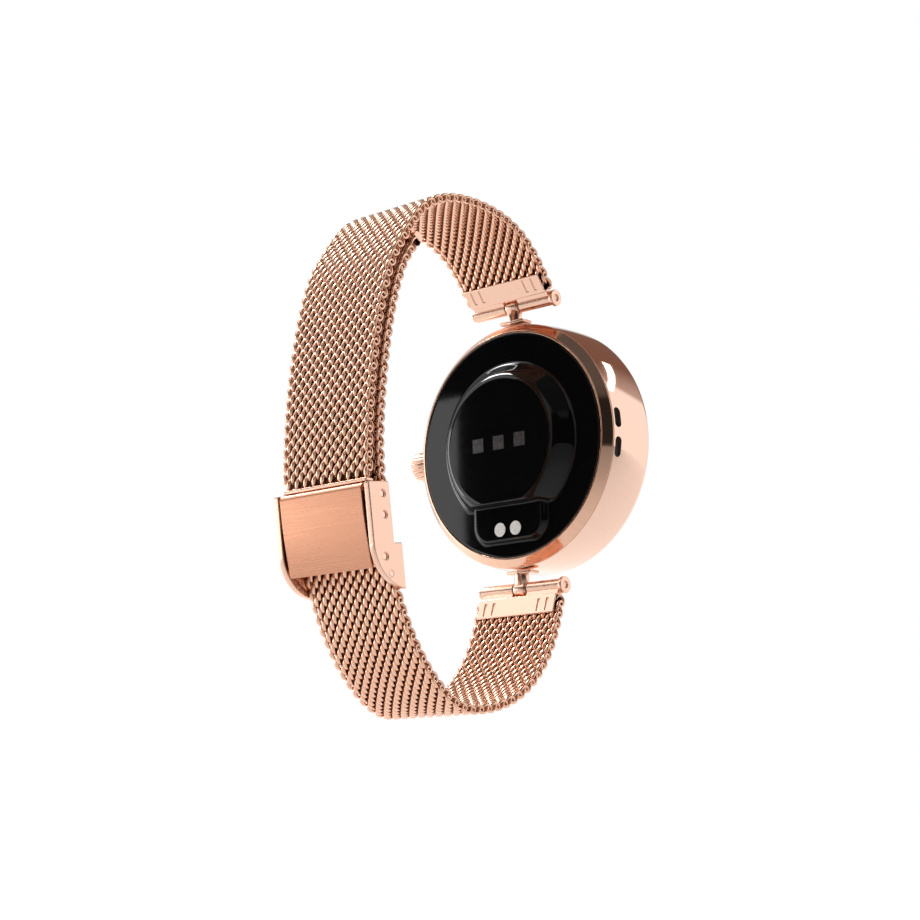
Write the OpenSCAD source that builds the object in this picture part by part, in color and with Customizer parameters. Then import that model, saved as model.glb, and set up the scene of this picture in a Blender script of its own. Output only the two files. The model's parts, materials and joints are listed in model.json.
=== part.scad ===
// Round smartwatch on a woven mesh strap with a hooked fold-over clasp.
// Frame: origin at the centre of the sensor window's face, which rests on the wrist.
// +Z points to 12 o'clock, +X to 3 o'clock (the crown), +Y from the case into the wrist loop.
// All sizes are in millimetres.

/* [Case] */
// Largest outer diameter of the case
case_d = 38.1; // [32:0.1:46]
// Depth of the case from its back plane to the front of its bezel
case_t = 10.2; // [10:0.1:13]
// Wall of the case shell
case_wall = 1.3; // [1:0.1:1.6]
// Radius of the case side's barrel curve, seen in section
barrel_r = 48; // [30:1:120]
// Depth at which the barrel is widest
barrel_depth = 7.4; // [5:0.1:8]
// Width of the metal rim around the black back
rim_w = 1.95; // [1.5:0.05:2.5]
// Depth of the rim's bevel
rim_bevel = 1.25; // [0.8:0.05:1.6]
// Length of one side slot
slot_len = 3; // [2:0.1:4]
// Width of one side slot
slot_w = 1.3; // [0.8:0.1:1.4]
// Distance between the two side slots
slot_pitch = 4.35; // [4.2:0.05:6]

/* [Back] */
// Height of the sensor dome above the back plane
dome_h = 2.6; // [1.8:0.1:3.2]
// Radius of the dome's flat face
dome_r = 10.4; // [9:0.1:11]
// Width of the dome's sloping flank
dome_flank = 2; // [1.2:0.1:2.4]
// Height of the charging tab above the back plane
tab_h = 0.95; // [0.6:0.05:1.5]
// Width of the charging tab
tab_w = 14; // [10:0.1:16]
// Distance from the case axis to the tab's lower edge
tab_reach = 15; // [14.2:0.1:15.2]
// Distance between the two charging contacts
contact_pitch = 2.98; // [2.6:0.02:4]
// Diameter of one charging contact
contact_d = 2.1; // [1.6:0.1:2.4]
// Distance between neighbouring sensor windows
window_pitch = 4; // [3:0.1:5]
// Side of one square sensor window
window_side = 2.1; // [1.6:0.1:2.6]

/* [Crown] */
// Diameter of the crown
crown_d = 4.6; // [3.6:0.1:5.4]
// Length of the crown
crown_len = 2.7; // [2:0.1:3.5]
// Gap between the case and the crown when it is out
crown_gap = 0.6; // [0.5:0.05:1]
// Travel of the crown when it is pressed
crown_travel = 0.4; // [0.2:0.05:0.4]
// Depth of the crown's axis below the back plane
crown_depth = 4.4; // [4.2:0.1:5]
// Number of flutes on the crown
crown_flutes = 18; // [12:1:24]

/* [Strap bars] */
// Distance from the case wall to each strap bar's axis
bar_out = 2.7; // [2.4:0.05:4]
// Depth of the strap bars below the back plane
bar_depth = 2.3; // [2:0.1:4]
// Distance that a strap bar's ends stand past each side of the mesh
bar_over = 0.15; // [0.1:0.05:0.8]
// Diameter of the strap bar's tubes
tube_d = 2; // [1.8:0.05:2.4]
// Diameter of the pin inside the tubes
pin_d = 1; // [0.8:0.05:1.2]
// Width of the lug loop on the case
lug_w = 2.4; // [2:0.1:3]

/* [Strap] */
// Width of the mesh
mesh_w = 15.9; // [14:0.1:18]
// Thickness of the mesh
mesh_t = 1.4; // [1.2:0.05:1.5]
// Distance from the back plane to the middle of the outer mesh behind the wrist
loop_depth = 38.65; // [32:0.1:48]
// Rise of the 12 o'clock mesh above its bar
rise_12 = 10.75; // [8:0.1:14]
// Drop of the 6 o'clock mesh below its bar
drop_6 = 18.65; // [14:0.1:22]
// Angle at which the 12 o'clock mesh leaves its bar
leave_12 = 53; // [45:1:65]
// Angle at which the 6 o'clock mesh leaves its bar
leave_6 = 72; // [65:1:80]
// Distance between the middles of the two mesh layers where they lap
lap = 2.05; // [1.9:0.05:2.2]
// Thickness of the clamp's sheet
clamp_t = 0.3; // [0.2:0.05:0.4]
// Length of the clamps on the mesh ends
clamp_len = 4.6; // [4:0.1:6]

/* [Clasp] */
// Height of the clasp's top edge, measured from the case axis
clasp_z = -10.9; // [-13:0.1:-9]
// Lean of the clasp, top edge outwards
clasp_lean = 6.5; // [4:0.5:9]
// Length of the clasp's side walls
clasp_len = 14.4; // [13.5:0.1:16]
// Height of the side walls above the clasp's inner edge
clasp_h = 3.85; // [3.6:0.05:4.4]
// Thickness of a side wall
clasp_wall = 0.95; // [0.6:0.05:1.2]
// Gap between the mesh and a side wall
clasp_side_gap = 0.15; // [0.12:0.01:0.3]
// Radius of the walls' lower outer corner
clasp_corner_r = 6.25; // [4:0.1:7]
// Length of the flip cover
cover_len = 11.3; // [10:0.1:12]
// Thickness of the flip cover
cover_t = 0.45; // [0.35:0.05:0.6]
// Gap between the cover and each side wall
cover_gap = 0.4; // [0.2:0.05:0.6]
// Radius of the cover's gentle curve
cover_curve_r = 70; // [50:1:120]

/* [Hidden] */

$fn = 64;
eps = 0.01;
rose = "#E3A98C";
rose_pale = "#F0C2A8";
gloss_black = "#0B0B0C";
steel = "#B8BABD";

// Running clearance between a pin and its bore, on the radius
run = 0.04;
// Clearance of pieces that are only dropped into place
seat = 0.05;
// How far a cutting shape runs past what it cuts
over = 1;

// Case radii and the depth stack, measured from the back plane towards the display
case_r = case_d / 2;
bore_r = case_r - case_wall;
cover_r = case_r - rim_w;
plate_t = 0.9;
gasket_t = 0.4;
ledge_w = 0.7;
ledge_r = cover_r - ledge_w;
rim_land = 0.3;
skirt_h = 0.45;
skirt_end = rim_bevel + skirt_h;
frame_top = skirt_end + 0.15;
bezel_t = 1.1;
bezel_skirt = 0.5;
bezel_w = 0.75;
shell_end = case_t - bezel_t;
glass_t = 0.9;
glass_chamfer = 0.25;
panel_t = 1.3;
glass_top = case_t - glass_t;
panel_top = glass_top - panel_t - seat;
frame_end = panel_top - 0.1;
glass_r = bore_r - bezel_w;
panel_r = glass_r - 0.5;
frame_r = bore_r - seat;
frame_wall = 1;
pocket_r = frame_r - frame_wall;
slot_land = 0.3;
slot_depth = rim_bevel + slot_land + slot_w / 2;
slot_mid_z = -0.5;
slot_zs = [slot_mid_z + slot_pitch / 2, slot_mid_z - slot_pitch / 2];

// Inner decks
web_depth = 5.1;
web_t = 0.5;
boss_h = 0.3;
boss_r = 1.4;
boss_spots = [[-12.5, 6], [12.5, 6], [-9, -11.5]];
screw_r = 0.5;
screw_head_r = 1.1;
screw_head_h = 0.4;
drive_l = 1.6;
drive_w = 0.3;
drive_t = 0.2;
board_t = 0.7;
board_gap = 0.3;
board_depth = web_depth + web_t + boss_h;
board_end = board_depth + board_t;
battery_t = 2.3;
battery_w = 20;
battery_l = 13;
battery_z = 3;
pad_t = 0.2;
pad_rim = 1;
battery_depth = web_depth - pad_t - battery_t;
shield_w = 14;
shield_l = 11;
shield_h = 0.5;
shield_z = 1;
shield_skin = 0.3;
shield_top = 0.15;
flex_at = [4.5, -6.2];
flex_w = 3;
flex_t = 0.15;
flex_run = 0.75;
tail_w = 6;
tail_t = 0.15;
tail_z = pocket_r - 1.6;
tail_notch = [8, 3];

// Vibration motor
motor_r = 3.2;
motor_h = 2.2;
motor_z = -9.2;
motor_depth = web_depth - motor_h - eps;
motor_skin = 0.25;
motor_gap = 0.25;
motor_shaft_r = 0.4;
motor_hub_r = 1;

// Optical sensors behind the dome
cavity_r = dome_r - 1;
dome_skin = 0.8;
chord_z = -9.3;
chord_wall = 1;
tab_corner = 3;
tab_root = 6;
contact_z = -12.9;
contact_flange = 0.25;
contact_flange_t = 0.3;
sensor_side = 1.6;
sensor_t = 0.7;
sensor_board_t = 0.5;
shield_gap = 1.3;
shield_rim = [0.6, 2.1];
shield_slack = 0.5;
board_back = -dome_h + dome_skin + shield_gap;

// Bars
bar_y = -dome_h - bar_depth;
bar_z = case_r + bar_out;
bar_half = mesh_w / 2 + bar_over;
knuckle_gap = 0.15;
cap_t = 0.6;
cap_r = tube_d / 2 + 0.25;
far_cap_r = tube_d / 2 - 0.15;
dimple_t = 0.3;
tube_half = bar_half - cap_t;
lug_r = tube_d / 2 + 0.2;
lug_neck = [0.75, 1.2];
lug_foot = [lug_w + 2.2, 2.4, 0.5];
lug_foot_up = 1.2;
lug_sink = 0.1;
lug_peg_r = 0.8;
lug_peg_up = 0.4;
lug_peg_in = 0.95;

// Curves of the mesh, as Bezier points [y, z] in the model's frame
back_y = loop_depth - dome_h;
apex_z = bar_z + rise_12;
deep_z = -bar_z - drop_6;
turn_y = back_y - 6.6;
turn_z = apex_z - 9.7;
mesh_start = 1.85;
lip_h = 0.55;
lip_low = -0.2;
straight_h = 1.9;
turn_a = -52;
entry_a = 81;
// Handle lengths of the two curves, in order from the bar to the clasp
pull_12 = [4.2, 9.4, 10.9, 5.4, 5.9, 12];
pull_6 = [12, 7.4, 6, 12, 4, 4];
bar_12 = [bar_y, bar_z];
free_12 = bar_12 + clamp_len * heading(leave_12);
apex_12 = [13.4, apex_z];
turn_12 = [turn_y, turn_z];
back_12 = [back_y, clasp_z + straight_h];
end_12 = [back_y, clasp_z + lip_low + lip_h];
curve_12a = [
  free_12, free_12 + pull_12[0] * heading(leave_12), apex_12 - [pull_12[1], 0], apex_12
];
curve_12b = [
  apex_12, apex_12 + [pull_12[2], 0], turn_12 - pull_12[3] * heading(turn_a), turn_12
];
curve_12c = [
  turn_12, turn_12 + pull_12[4] * heading(turn_a), back_12 + [0, pull_12[5]], back_12
];
bar_6 = [bar_y, -bar_z];
free_6 = bar_6 + clamp_len * heading(-leave_6);
deep_6 = [16.4, deep_z];
entry_6 = [back_y - 3.45, clasp_z - 8.1];
curve_6a = [
  free_6, free_6 + pull_6[0] * heading(-leave_6), deep_6 - [pull_6[1], 0], deep_6
];
curve_6b = [
  deep_6, deep_6 + [pull_6[2], 0], entry_6 - pull_6[3] * heading(entry_a), entry_6
];
steps = 14;
link_steps = 8;
tail_steps = 4;
lap_stop = 0.9;
tail_turn = 0.8;
path_12 = concat(
  [bar_12 + mesh_start * heading(leave_12)],
  bezier_run(curve_12a, 0, 1, steps),
  bezier_run(curve_12b, 1 / steps, 1, steps),
  bezier_run(curve_12c, 1 / steps, 1, steps),
  [end_12]
);
tail_low = shift_in(curve_12c, lap_stop, lap);
curve_6c = [
  entry_6, entry_6 + pull_6[4] * heading(entry_a), tail_low - [0, pull_6[5]], tail_low
];
path_6 = concat(
  [bar_6 + mesh_start * heading(-leave_6)],
  bezier_run(curve_6a, 0, 1, steps),
  bezier_run(curve_6b, 1 / steps, 1, steps),
  bezier_run(curve_6c, 1 / link_steps, 1, link_steps),
  [for (i = [1:steps]) shift_in(curve_12c, lap_stop * (1 - i / steps), lap)],
  [for (i = [1:tail_steps]) shift_in(curve_12b, 1 - i * (1 - tail_turn) / tail_steps, lap)]
);

// Clasp frame: [outwards, up] from the walls' top inner corner
clasp_y = back_y - lap - 0.3;
half_in = mesh_w / 2 + clasp_side_gap;
half_out = half_in + clasp_wall;
hinge_r = 0.78;
hinge_proud = 0.15;
hinge_pos = [clasp_h + hinge_proud - hinge_r, -hinge_r];
trunnion_r = 0.4;
trunnion_skin = 0.15;
cover_half = half_in - cover_gap;
cover_centre_up = -1;
cross_r = 0.5;
cross_sink = 0.2;
cross_pins = [[1.4, -1.65], [1.4, -4.45]];
rivet_pos = [1.1, -12.25];
lock_pos = [1.9, -9.95];
lock_side = 0.6;
lock_half = half_in - lock_side;
lock_barrel_r = 0.9;
lock_plate_t = 0.5;
lock_plate_l = 6.6;
lock_plate_out = 0.25;
lock_slot = [3.2, 0.7];
lock_slot_up = 4.4;
floor_top = -1.45;
floor_t = 0.35;
floor_zs = [-10.2, -8.2];
tab_drop = 1.5;
tab_overlap = 1;

function heading(a) = [cos(a), sin(a)];
function bezier(c, t) =
  pow(1 - t, 3) * c[0] + 3 * pow(1 - t, 2) * t * c[1] + 3 * (1 - t) * t * t * c[2] + pow(t, 3) * c[3];
function bezier_slope(c, t) =
  3 * pow(1 - t, 2) * (c[1] - c[0]) + 6 * (1 - t) * t * (c[2] - c[1]) + 3 * t * t * (c[3] - c[2]);
function unit(v) = v / norm(v);
function bezier_run(c, t0, t1, n) = [for (i = [0:n]) bezier(c, t0 + (t1 - t0) * i / n)];
// Point of a curve moved to the right of its direction of travel, which is into the loop
function shift_in(c, t, d) = let (u = unit(bezier_slope(c, t))) bezier(c, t) + d * [u[1], -u[0]];
function side_at(path, i) = let (
  a = path[max(i - 1, 0)],
  b = path[min(i + 1, len(path) - 1)],
  u = unit(b - a)
) [-u[1], u[0]];
function strip(path, half) = concat(
  [for (i = [0:len(path) - 1]) path[i] + half * side_at(path, i)],
  [for (i = [len(path) - 1:-1:0]) path[i] - half * side_at(path, i)]
);
// Radius of the case's barrel at a depth
function barrel(depth) = case_r - barrel_r + sqrt(pow(barrel_r, 2) - pow(depth - barrel_depth, 2));

// Places a child drawn with z as the depth below the back plane, x as X and y as Z
module in_case() {
  translate([0, -dome_h, 0]) rotate([90, 0, 0]) children();
}
// Turns a drawing in [y, z] into a slab from x0 to x1
module slab(x0, x1) {
  translate([x0, 0, 0]) rotate([90, 0, 90]) linear_extrude(x1 - x0) children();
}
// A rod along X from x0 to x1
module rod(r, x0, x1) {
  translate([x0, 0, 0]) rotate([0, 90, 0]) cylinder(r = r, h = x1 - x0);
}
module tube(r_out, r_in, h) {
  difference() {
    cylinder(r = r_out, h = h);
    translate([0, 0, -1]) cylinder(r = r_in, h = h + 2);
  }
}
module block(size, at) {
  translate([at[0] - size[0] / 2, at[1] - size[1] / 2, at[2]]) cube(size);
}
module in_clasp() {
  translate([0, clasp_y, clasp_z]) rotate([-clasp_lean, 0, 0]) children();
}
module at_clasp(p) {
  translate([0, p[0], p[1]]) children();
}

// ---- case ----
// A slot's shape as a bar along X, drawn in the case's frame
module slot_bar(z, x0, x1) {
  span = slot_len - slot_w;
  translate([0, z, slot_depth]) {
    for (s = [-1, 1]) translate([0, s * span / 2, 0]) rod(slot_w / 2, x0, x1);
    translate([x0, -span / 2, -slot_w / 2]) cube([x1 - x0, span, slot_w]);
  }
}
module lug_holes() {
  for (s = [-1, 1]) translate([0, s * (bore_r + case_wall - lug_peg_in), bar_depth + lug_peg_up])
    rotate([s * -90, 0, 0]) cylinder(r = lug_peg_r, h = lug_peg_in + over);
}
module case_shell() {
  color(rose) in_case() difference() {
    rotate_extrude() intersection() {
      translate([bore_r, rim_bevel]) square([case_wall + over, shell_end - rim_bevel]);
      translate([case_r - barrel_r, barrel_depth]) circle(r = barrel_r, $fn = 256);
    }
    for (z = slot_zs) slot_bar(z, -case_r - over, -bore_r + over);
    translate([0, 0, crown_depth]) rod(crown_tube_r, bore_r - over, case_r + over);
    lug_holes();
  }
}
rim_step = 0.08;
rim_edge = 0.1;
module back_ring() {
  outer = barrel(rim_bevel) - rim_step;
  color(rose_pale) in_case() rotate_extrude() polygon([
    [cover_r + seat, 0], [cover_r + rim_land, 0], [outer, rim_bevel - rim_edge], [outer, rim_bevel],
    [bore_r - seat, rim_bevel], [bore_r - seat, skirt_end], [ledge_r, skirt_end],
    [ledge_r, plate_t + gasket_t], [cover_r + seat, plate_t + gasket_t]
  ]);
}
module tab_outline() {
  half = tab_w / 2 - tab_corner;
  for (s = [-1, 1]) translate([s * half, -tab_reach + tab_corner]) circle(r = tab_corner);
  translate([-half, -tab_reach]) square([2 * half, tab_root]);
  translate([-tab_w / 2, -tab_reach + tab_corner]) square([tab_w, tab_root]);
}
module window_holes(side, z0, h) {
  for (i = [-1:1]) block([side, side, h], [i * window_pitch, 0, z0]);
}
// Everything above a chord of the case, from a depth on
module above(chord, depth, h) {
  translate([-case_r, chord, depth]) cube([2 * case_r, 2 * case_r, h]);
}
module back_cover() {
  color(gloss_black) in_case() difference() {
    union() {
      cylinder(r = cover_r, h = plate_t);
      intersection() {
        translate([0, 0, -dome_h]) cylinder(r1 = dome_r, r2 = dome_r + dome_flank, h = dome_h + eps);
        above(chord_z, -dome_h - over, dome_h + 2 * over);
      }
      translate([0, 0, -tab_h]) linear_extrude(tab_h + eps) tab_outline();
    }
    intersection() {
      translate([0, 0, -dome_h + dome_skin]) cylinder(r = cavity_r, h = dome_h + plate_t);
      above(chord_z + chord_wall, -dome_h, 2 * dome_h + plate_t);
    }
    window_holes(window_side, -dome_h - over, dome_skin + 2 * over);
    for (s = [-1, 1]) translate([s * contact_pitch / 2, contact_z, -tab_h - over])
      cylinder(d = contact_d, h = tab_h + plate_t + 2 * over);
  }
}
module back_gasket() {
  color("#303030") in_case() translate([0, 0, plate_t])
    tube(cover_r - 2 * seat, ledge_r + 2 * seat, gasket_t);
}
module sensor_windows() {
  color("#26211F") in_case() window_holes(window_side, -dome_h, dome_skin);
}
module sensor_board() {
  color("#1E5B3A") in_case() intersection() {
    translate([0, 0, board_back]) cylinder(r = cavity_r - board_gap, h = sensor_board_t);
    above(chord_z + chord_wall + board_gap, -dome_h, 2 * dome_h + plate_t);
  }
}
module optical_sensors() {
  color("#D8D8C8") in_case() for (i = [-1:1])
    block([sensor_side, sensor_side, sensor_t], [i * window_pitch, 0, board_back - sensor_t]);
}
module light_shield() {
  color("#151515") in_case() difference() {
    block(
      [3 * window_pitch + shield_rim[0], window_side + shield_rim[1], shield_gap],
      [0, 0, board_back - shield_gap]
    );
    window_holes(window_side + shield_slack, board_back - shield_gap - over, shield_gap + 2 * over);
  }
}
module charge_contacts() {
  color("#D9CFC4") in_case() for (s = [-1, 1]) translate([s * contact_pitch / 2, contact_z, 0]) {
    translate([0, 0, -tab_h]) cylinder(d = contact_d, h = tab_h + plate_t);
    translate([0, 0, plate_t]) cylinder(d = contact_d + 2 * contact_flange, h = contact_flange_t);
  }
}
// A folded film: a web with a short foot on each board
module sensor_flex() {
  top = board_back + sensor_board_t;
  h = board_depth - top;
  color("#B5762C") in_case() difference() {
    block([flex_w, flex_run + flex_t, h], [flex_at[0], flex_at[1], top]);
    block([flex_w + over, flex_run, h - 2 * flex_t], [flex_at[0], flex_at[1] + flex_t, top + flex_t]);
  }
}
module tail_cut() {
  block([tail_notch[0], tail_notch[1], case_t], [0, pocket_r + tail_notch[1] / 3, web_depth + over]);
}
flex_slot = [4, 1.6];
pocket_w = 3.4;
mic_cut = [3, 9, 3.4];
module inner_frame() {
  color("#3A3C40") in_case() difference() {
    union() {
      translate([0, 0, frame_top]) tube(frame_r, pocket_r, frame_end - frame_top);
      translate([0, 0, web_depth]) cylinder(r = pocket_r + eps, h = web_t);
      for (p = boss_spots) translate([p[0], p[1], web_depth]) cylinder(r = boss_r, h = web_t + boss_h);
    }
    for (p = boss_spots) translate([p[0], p[1], web_depth - over])
      cylinder(r = screw_r, h = web_t + boss_h + 2 * over);
    block([flex_slot[0], flex_slot[1], web_t + 2 * over], [flex_at[0], flex_at[1], web_depth - over]);
    translate([switch_in - seat, -pocket_w / 2, crown_depth - switch_h / 2 - 0.5])
      cube([frame_r, pocket_w, web_depth + web_t - crown_depth + switch_h / 2 + 0.6]);
    block(mic_cut, [-frame_r + 0.5, slot_mid_z, frame_top - over]);
    tail_cut();
  }
}
module battery() {
  color("#C9CCD1") in_case() block([battery_w, battery_l, battery_t], [0, battery_z, battery_depth]);
}
module battery_pad() {
  color("#2B2B2B") in_case() block(
    [battery_w - 2 * pad_rim, battery_l - 2 * pad_rim, pad_t], [0, battery_z, battery_depth + battery_t]
  );
}
module main_board() {
  color("#1E5B3A") in_case() difference() {
    translate([0, 0, board_depth]) cylinder(r = pocket_r - board_gap, h = board_t);
    for (p = boss_spots) translate([p[0], p[1], board_depth - over])
      cylinder(r = screw_r + 2 * seat, h = board_t + 2 * over);
    tail_cut();
  }
}
module board_shield() {
  inner_w = shield_w - 2 * shield_skin;
  inner_l = shield_l - 2 * shield_skin;
  color(steel) in_case() difference() {
    block([shield_w, shield_l, shield_h], [0, shield_z, board_end]);
    block([inner_w, inner_l, shield_h], [0, shield_z, board_end - shield_top]);
  }
}
module board_screws() {
  foot = web_depth + 2 * seat;
  color(steel) in_case() for (p = boss_spots) translate([p[0], p[1], 0]) {
    translate([0, 0, foot]) cylinder(r = screw_r, h = board_end - foot);
    difference() {
      translate([0, 0, board_end]) cylinder(r = screw_head_r, h = screw_head_h);
      block([drive_w, drive_l, screw_head_h], [0, 0, board_end + drive_t]);
      block([drive_l, drive_w, screw_head_h], [0, 0, board_end + drive_t]);
    }
  }
}
module at_motor() {
  in_case() translate([0, motor_z, motor_depth]) children();
}
module motor_can() {
  color(steel) at_motor() difference() {
    cylinder(r = motor_r, h = motor_h);
    translate([0, 0, motor_skin]) cylinder(r = motor_r - motor_skin, h = motor_h - 2 * motor_skin);
  }
}
module motor_shaft() {
  color("#8F9296") at_motor() translate([0, 0, motor_skin])
    cylinder(r = motor_shaft_r, h = motor_h - 2 * motor_skin);
}
module motor_rotor() {
  rotor_r = motor_r - motor_skin - motor_gap;
  rotor_h = motor_h - 2 * (motor_skin + motor_gap);
  color("#A9803F") at_motor() translate([0, 0, motor_skin + motor_gap]) difference() {
    union() {
      cylinder(r = motor_hub_r, h = rotor_h);
      intersection() {
        cylinder(r = rotor_r, h = rotor_h);
        translate([-rotor_r, 0, 0]) cube([2 * rotor_r, rotor_r, rotor_h]);
      }
    }
    translate([0, 0, -over]) cylinder(r = motor_shaft_r + run, h = rotor_h + 2 * over);
  }
}
mic = [1.4, 3.2, 1.6];
module microphone() {
  color("#C9A24A") in_case() block(mic, [-pocket_r + mic[0] / 2 + 0.3, slot_zs[0], slot_depth - 0.2]);
}
plug_sink = 0.9;
plug_t = 0.4;
module dust_mesh() {
  color("#222222") in_case() for (z = slot_zs) slot_bar(z, -case_r + plug_sink, -case_r + plug_sink + plug_t);
}
module display_flex() {
  color("#B5762C") in_case() block([tail_w, tail_t, panel_top - board_end], [0, tail_z, board_end]);
}
bezel_step = 0.05;
bezel_curve = [[0.12, 0.45], [0.5, 0.92], [1.1, 1.1]];
module bezel() {
  edge = barrel(shell_end) - bezel_step;
  color(rose) in_case() rotate_extrude() polygon(concat(
    [
      [glass_r + seat, shell_end - bezel_skirt], [bore_r - seat, shell_end - bezel_skirt],
      [bore_r - seat, shell_end], [edge, shell_end]
    ],
    [for (p = bezel_curve) [edge - p[0], shell_end + p[1] * bezel_t / bezel_curve[2][1]]],
    [[glass_r + glass_chamfer, case_t], [glass_r + seat, case_t - glass_chamfer / 2]]
  ));
}
glass_slope = 0.45;
module display_glass() {
  flat = glass_t - glass_chamfer;
  color("#0A0A0B") in_case() translate([0, 0, glass_top]) {
    cylinder(r = glass_r, h = flat);
    translate([0, 0, flat]) cylinder(r1 = glass_r, r2 = glass_r - glass_slope, h = glass_chamfer);
  }
}
seal_t = 0.3;
module display_gasket() {
  color("#202020") in_case() translate([0, 0, shell_end - bezel_skirt - seal_t])
    tube(bore_r - 2 * seat, panel_r + 0.2, seal_t);
}
module display_panel() {
  color("#101014") in_case() translate([0, 0, panel_top]) cylinder(r = panel_r, h = panel_t);
}

// ---- lugs ----
module lug(s) {
  color(rose_pale) mirror([0, 0, s < 0 ? 1 : 0]) {
    difference() {
      union() {
        translate([0, bar_y, bar_z]) rod(lug_r, -lug_w / 2, lug_w / 2);
        translate([-lug_w / 2, bar_y - lug_neck[0], case_r - lug_sink])
          cube([lug_w, lug_neck[0] + lug_neck[1], bar_out + lug_sink]);
        translate([-lug_foot[0] / 2, bar_y - lug_foot_up, case_r - lug_sink / 2]) cube(lug_foot);
      }
      translate([0, bar_y, bar_z]) rod(pin_d / 2 + run, -lug_w, lug_w);
    }
    translate([0, bar_y - lug_peg_up, case_r - lug_peg_in]) cylinder(r = lug_peg_r, h = lug_peg_in + seat);
  }
}
module lug_12() {
  lug(1);
}
module lug_6() {
  lug(-1);
}

// ---- crown ----
crown_tube_r = 1.3;
stem_r = 0.7;
stem_head_r = 1.1;
stem_head_t = 0.3;
stem_back = 3;
crown_out = case_r + crown_gap;
crown_face = 0.8;
crown_edge = 0.4;
flute_r = 0.27;
flute_out = 0.05;
stem_in = bore_r - stem_back;
tube_end = crown_out - crown_travel - 0.1;
seal_xs = [bore_r + 0.15, case_r - 0.45];
seal_w = 0.4;
groove_t = 0.35;
switch_h = 2;
switch_w = 2.8;
switch_body = 1.8;
button_t = 0.3;
button_r = 0.6;
switch_gap = 0.05;
switch_out = stem_in - stem_head_t - crown_travel - switch_gap;
switch_in = switch_out - button_t - switch_body;
module at_crown() {
  in_case() translate([0, 0, crown_depth]) children();
}
module crown_tube() {
  color(steel) at_crown() difference() {
    rod(crown_tube_r, bore_r - 0.3, tube_end);
    rod(stem_r + run, bore_r - over, case_r + over);
    for (x = seal_xs) rod(stem_r + groove_t, x, x + seal_w);
  }
}
module crown_seals() {
  color("#1C1C1C") at_crown() for (x = seal_xs) difference() {
    rod(stem_r + groove_t - 0.02, x + 0.03, x + seal_w - 0.03);
    rod(stem_r + 0.03, x - over, x + over);
  }
}
module crown_stem() {
  color(steel) at_crown() {
    rod(stem_r, stem_in, crown_out + crown_len - crown_face);
    rod(stem_head_r, stem_in - stem_head_t, stem_in);
  }
}
clip_x = bore_r - 0.75;
clip_t = 0.2;
clip_r = stem_r + 0.5;
module crown_clip() {
  color("#8F9296") at_crown() difference() {
    rod(clip_r, clip_x, clip_x + clip_t);
    rod(stem_r, clip_x - over, clip_x + over);
  }
}
module crown_switch() {
  color("#C9A24A") at_crown() {
    translate([switch_in, -switch_w / 2, -switch_h / 2]) cube([switch_body + eps, switch_w, switch_h]);
    rod(button_r, switch_out - button_t, switch_out);
  }
}
// A coil spring between the stem's head and its clip, drawn as its separate turns
module crown_spring() {
  turns = 4;
  wire = 0.13;
  from = stem_in + seat + wire;
  span = clip_x - seat - wire - from;
  color(steel) at_crown() for (i = [0:turns]) translate([from + span * i / turns, 0, 0])
    rotate([0, 90, 0]) rotate_extrude() translate([stem_r + 2 * wire, 0]) circle(r = wire, $fn = 16);
}
module crown_wheel() {
  rim_end = crown_out + crown_len - crown_edge;
  color(rose_pale) at_crown() difference() {
    union() {
      rod(crown_d / 2, crown_out, rim_end);
      translate([rim_end, 0, 0]) rotate([0, 90, 0])
        cylinder(r1 = crown_d / 2, r2 = crown_d / 2 - crown_edge, h = crown_edge);
    }
    for (i = [0:crown_flutes - 1]) rotate([360 * i / crown_flutes, 0, 0])
      translate([0, crown_d / 2 + flute_out, 0]) rod(flute_r, crown_out - over, crown_out + crown_len + over);
    rod(stem_r + run, crown_out - over, crown_out + crown_len - crown_face + seat);
    rod(crown_tube_r + 2 * seat, crown_out - over, crown_out + 0.5);
  }
}

// ---- strap ----
module at_bar(s) {
  translate([0, bar_y, s * bar_z]) rotate([s > 0 ? leave_12 : -leave_6, 0, 0])
    mirror([0, 0, s > 0 ? 0 : 1]) children();
}
clamp_side = 0.65;
clamp_half = mesh_w / 2 - clamp_side;
clamp_from = tube_d / 2 + 0.5;
clamp_web = 0.6;
groove_spots = [-5.9, -4.3, 4.3, 5.9];
groove_w = 0.5;
groove_t_in = 0.16;
groove_end = 0.4;
// In its own frame the clamp runs along +y from the bar, with the wrist side at -z
module clamp(s) {
  inner = mesh_t / 2;
  outer = inner + clamp_t;
  pocket = mesh_start - seat;
  neck = lug_w / 2 + knuckle_gap;
  color(rose_pale) at_bar(s) difference() {
    union() {
      rod(tube_d / 2, -tube_half, tube_half);
      translate([-clamp_half, pin_d / 2, -clamp_web]) cube([2 * clamp_half, clamp_from, 2 * clamp_web]);
      translate([-clamp_half, clamp_from, -outer]) cube([2 * clamp_half, clamp_len - clamp_from, 2 * outer]);
    }
    translate([-mesh_w, pocket, -inner]) cube([2 * mesh_w, clamp_len, 2 * inner]);
    rod(pin_d / 2, -mesh_w, mesh_w);
    translate([-neck, -tube_d, -tube_d]) cube([2 * neck, tube_d + lug_r + knuckle_gap, 2 * tube_d]);
    for (x = groove_spots) translate([x - groove_w / 2, mesh_start + groove_end, -outer - over])
      cube([groove_w, clamp_len - mesh_start - 2 * groove_end, over + groove_t_in]);
  }
}
module strap_12_clamp() {
  clamp(1);
}
module strap_6_clamp() {
  clamp(-1);
}
module bar_pin(s) {
  color(rose_pale) translate([0, bar_y, s * bar_z]) {
    rod(pin_d / 2, -tube_half, tube_half);
    difference() {
      rod(cap_r, -bar_half, -tube_half);
      rod(pin_d / 2, -bar_half - over, -bar_half + dimple_t);
    }
    rod(far_cap_r, tube_half, bar_half);
  }
}
module strap_12_pin() {
  bar_pin(1);
}
module strap_6_pin() {
  bar_pin(-1);
}
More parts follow.
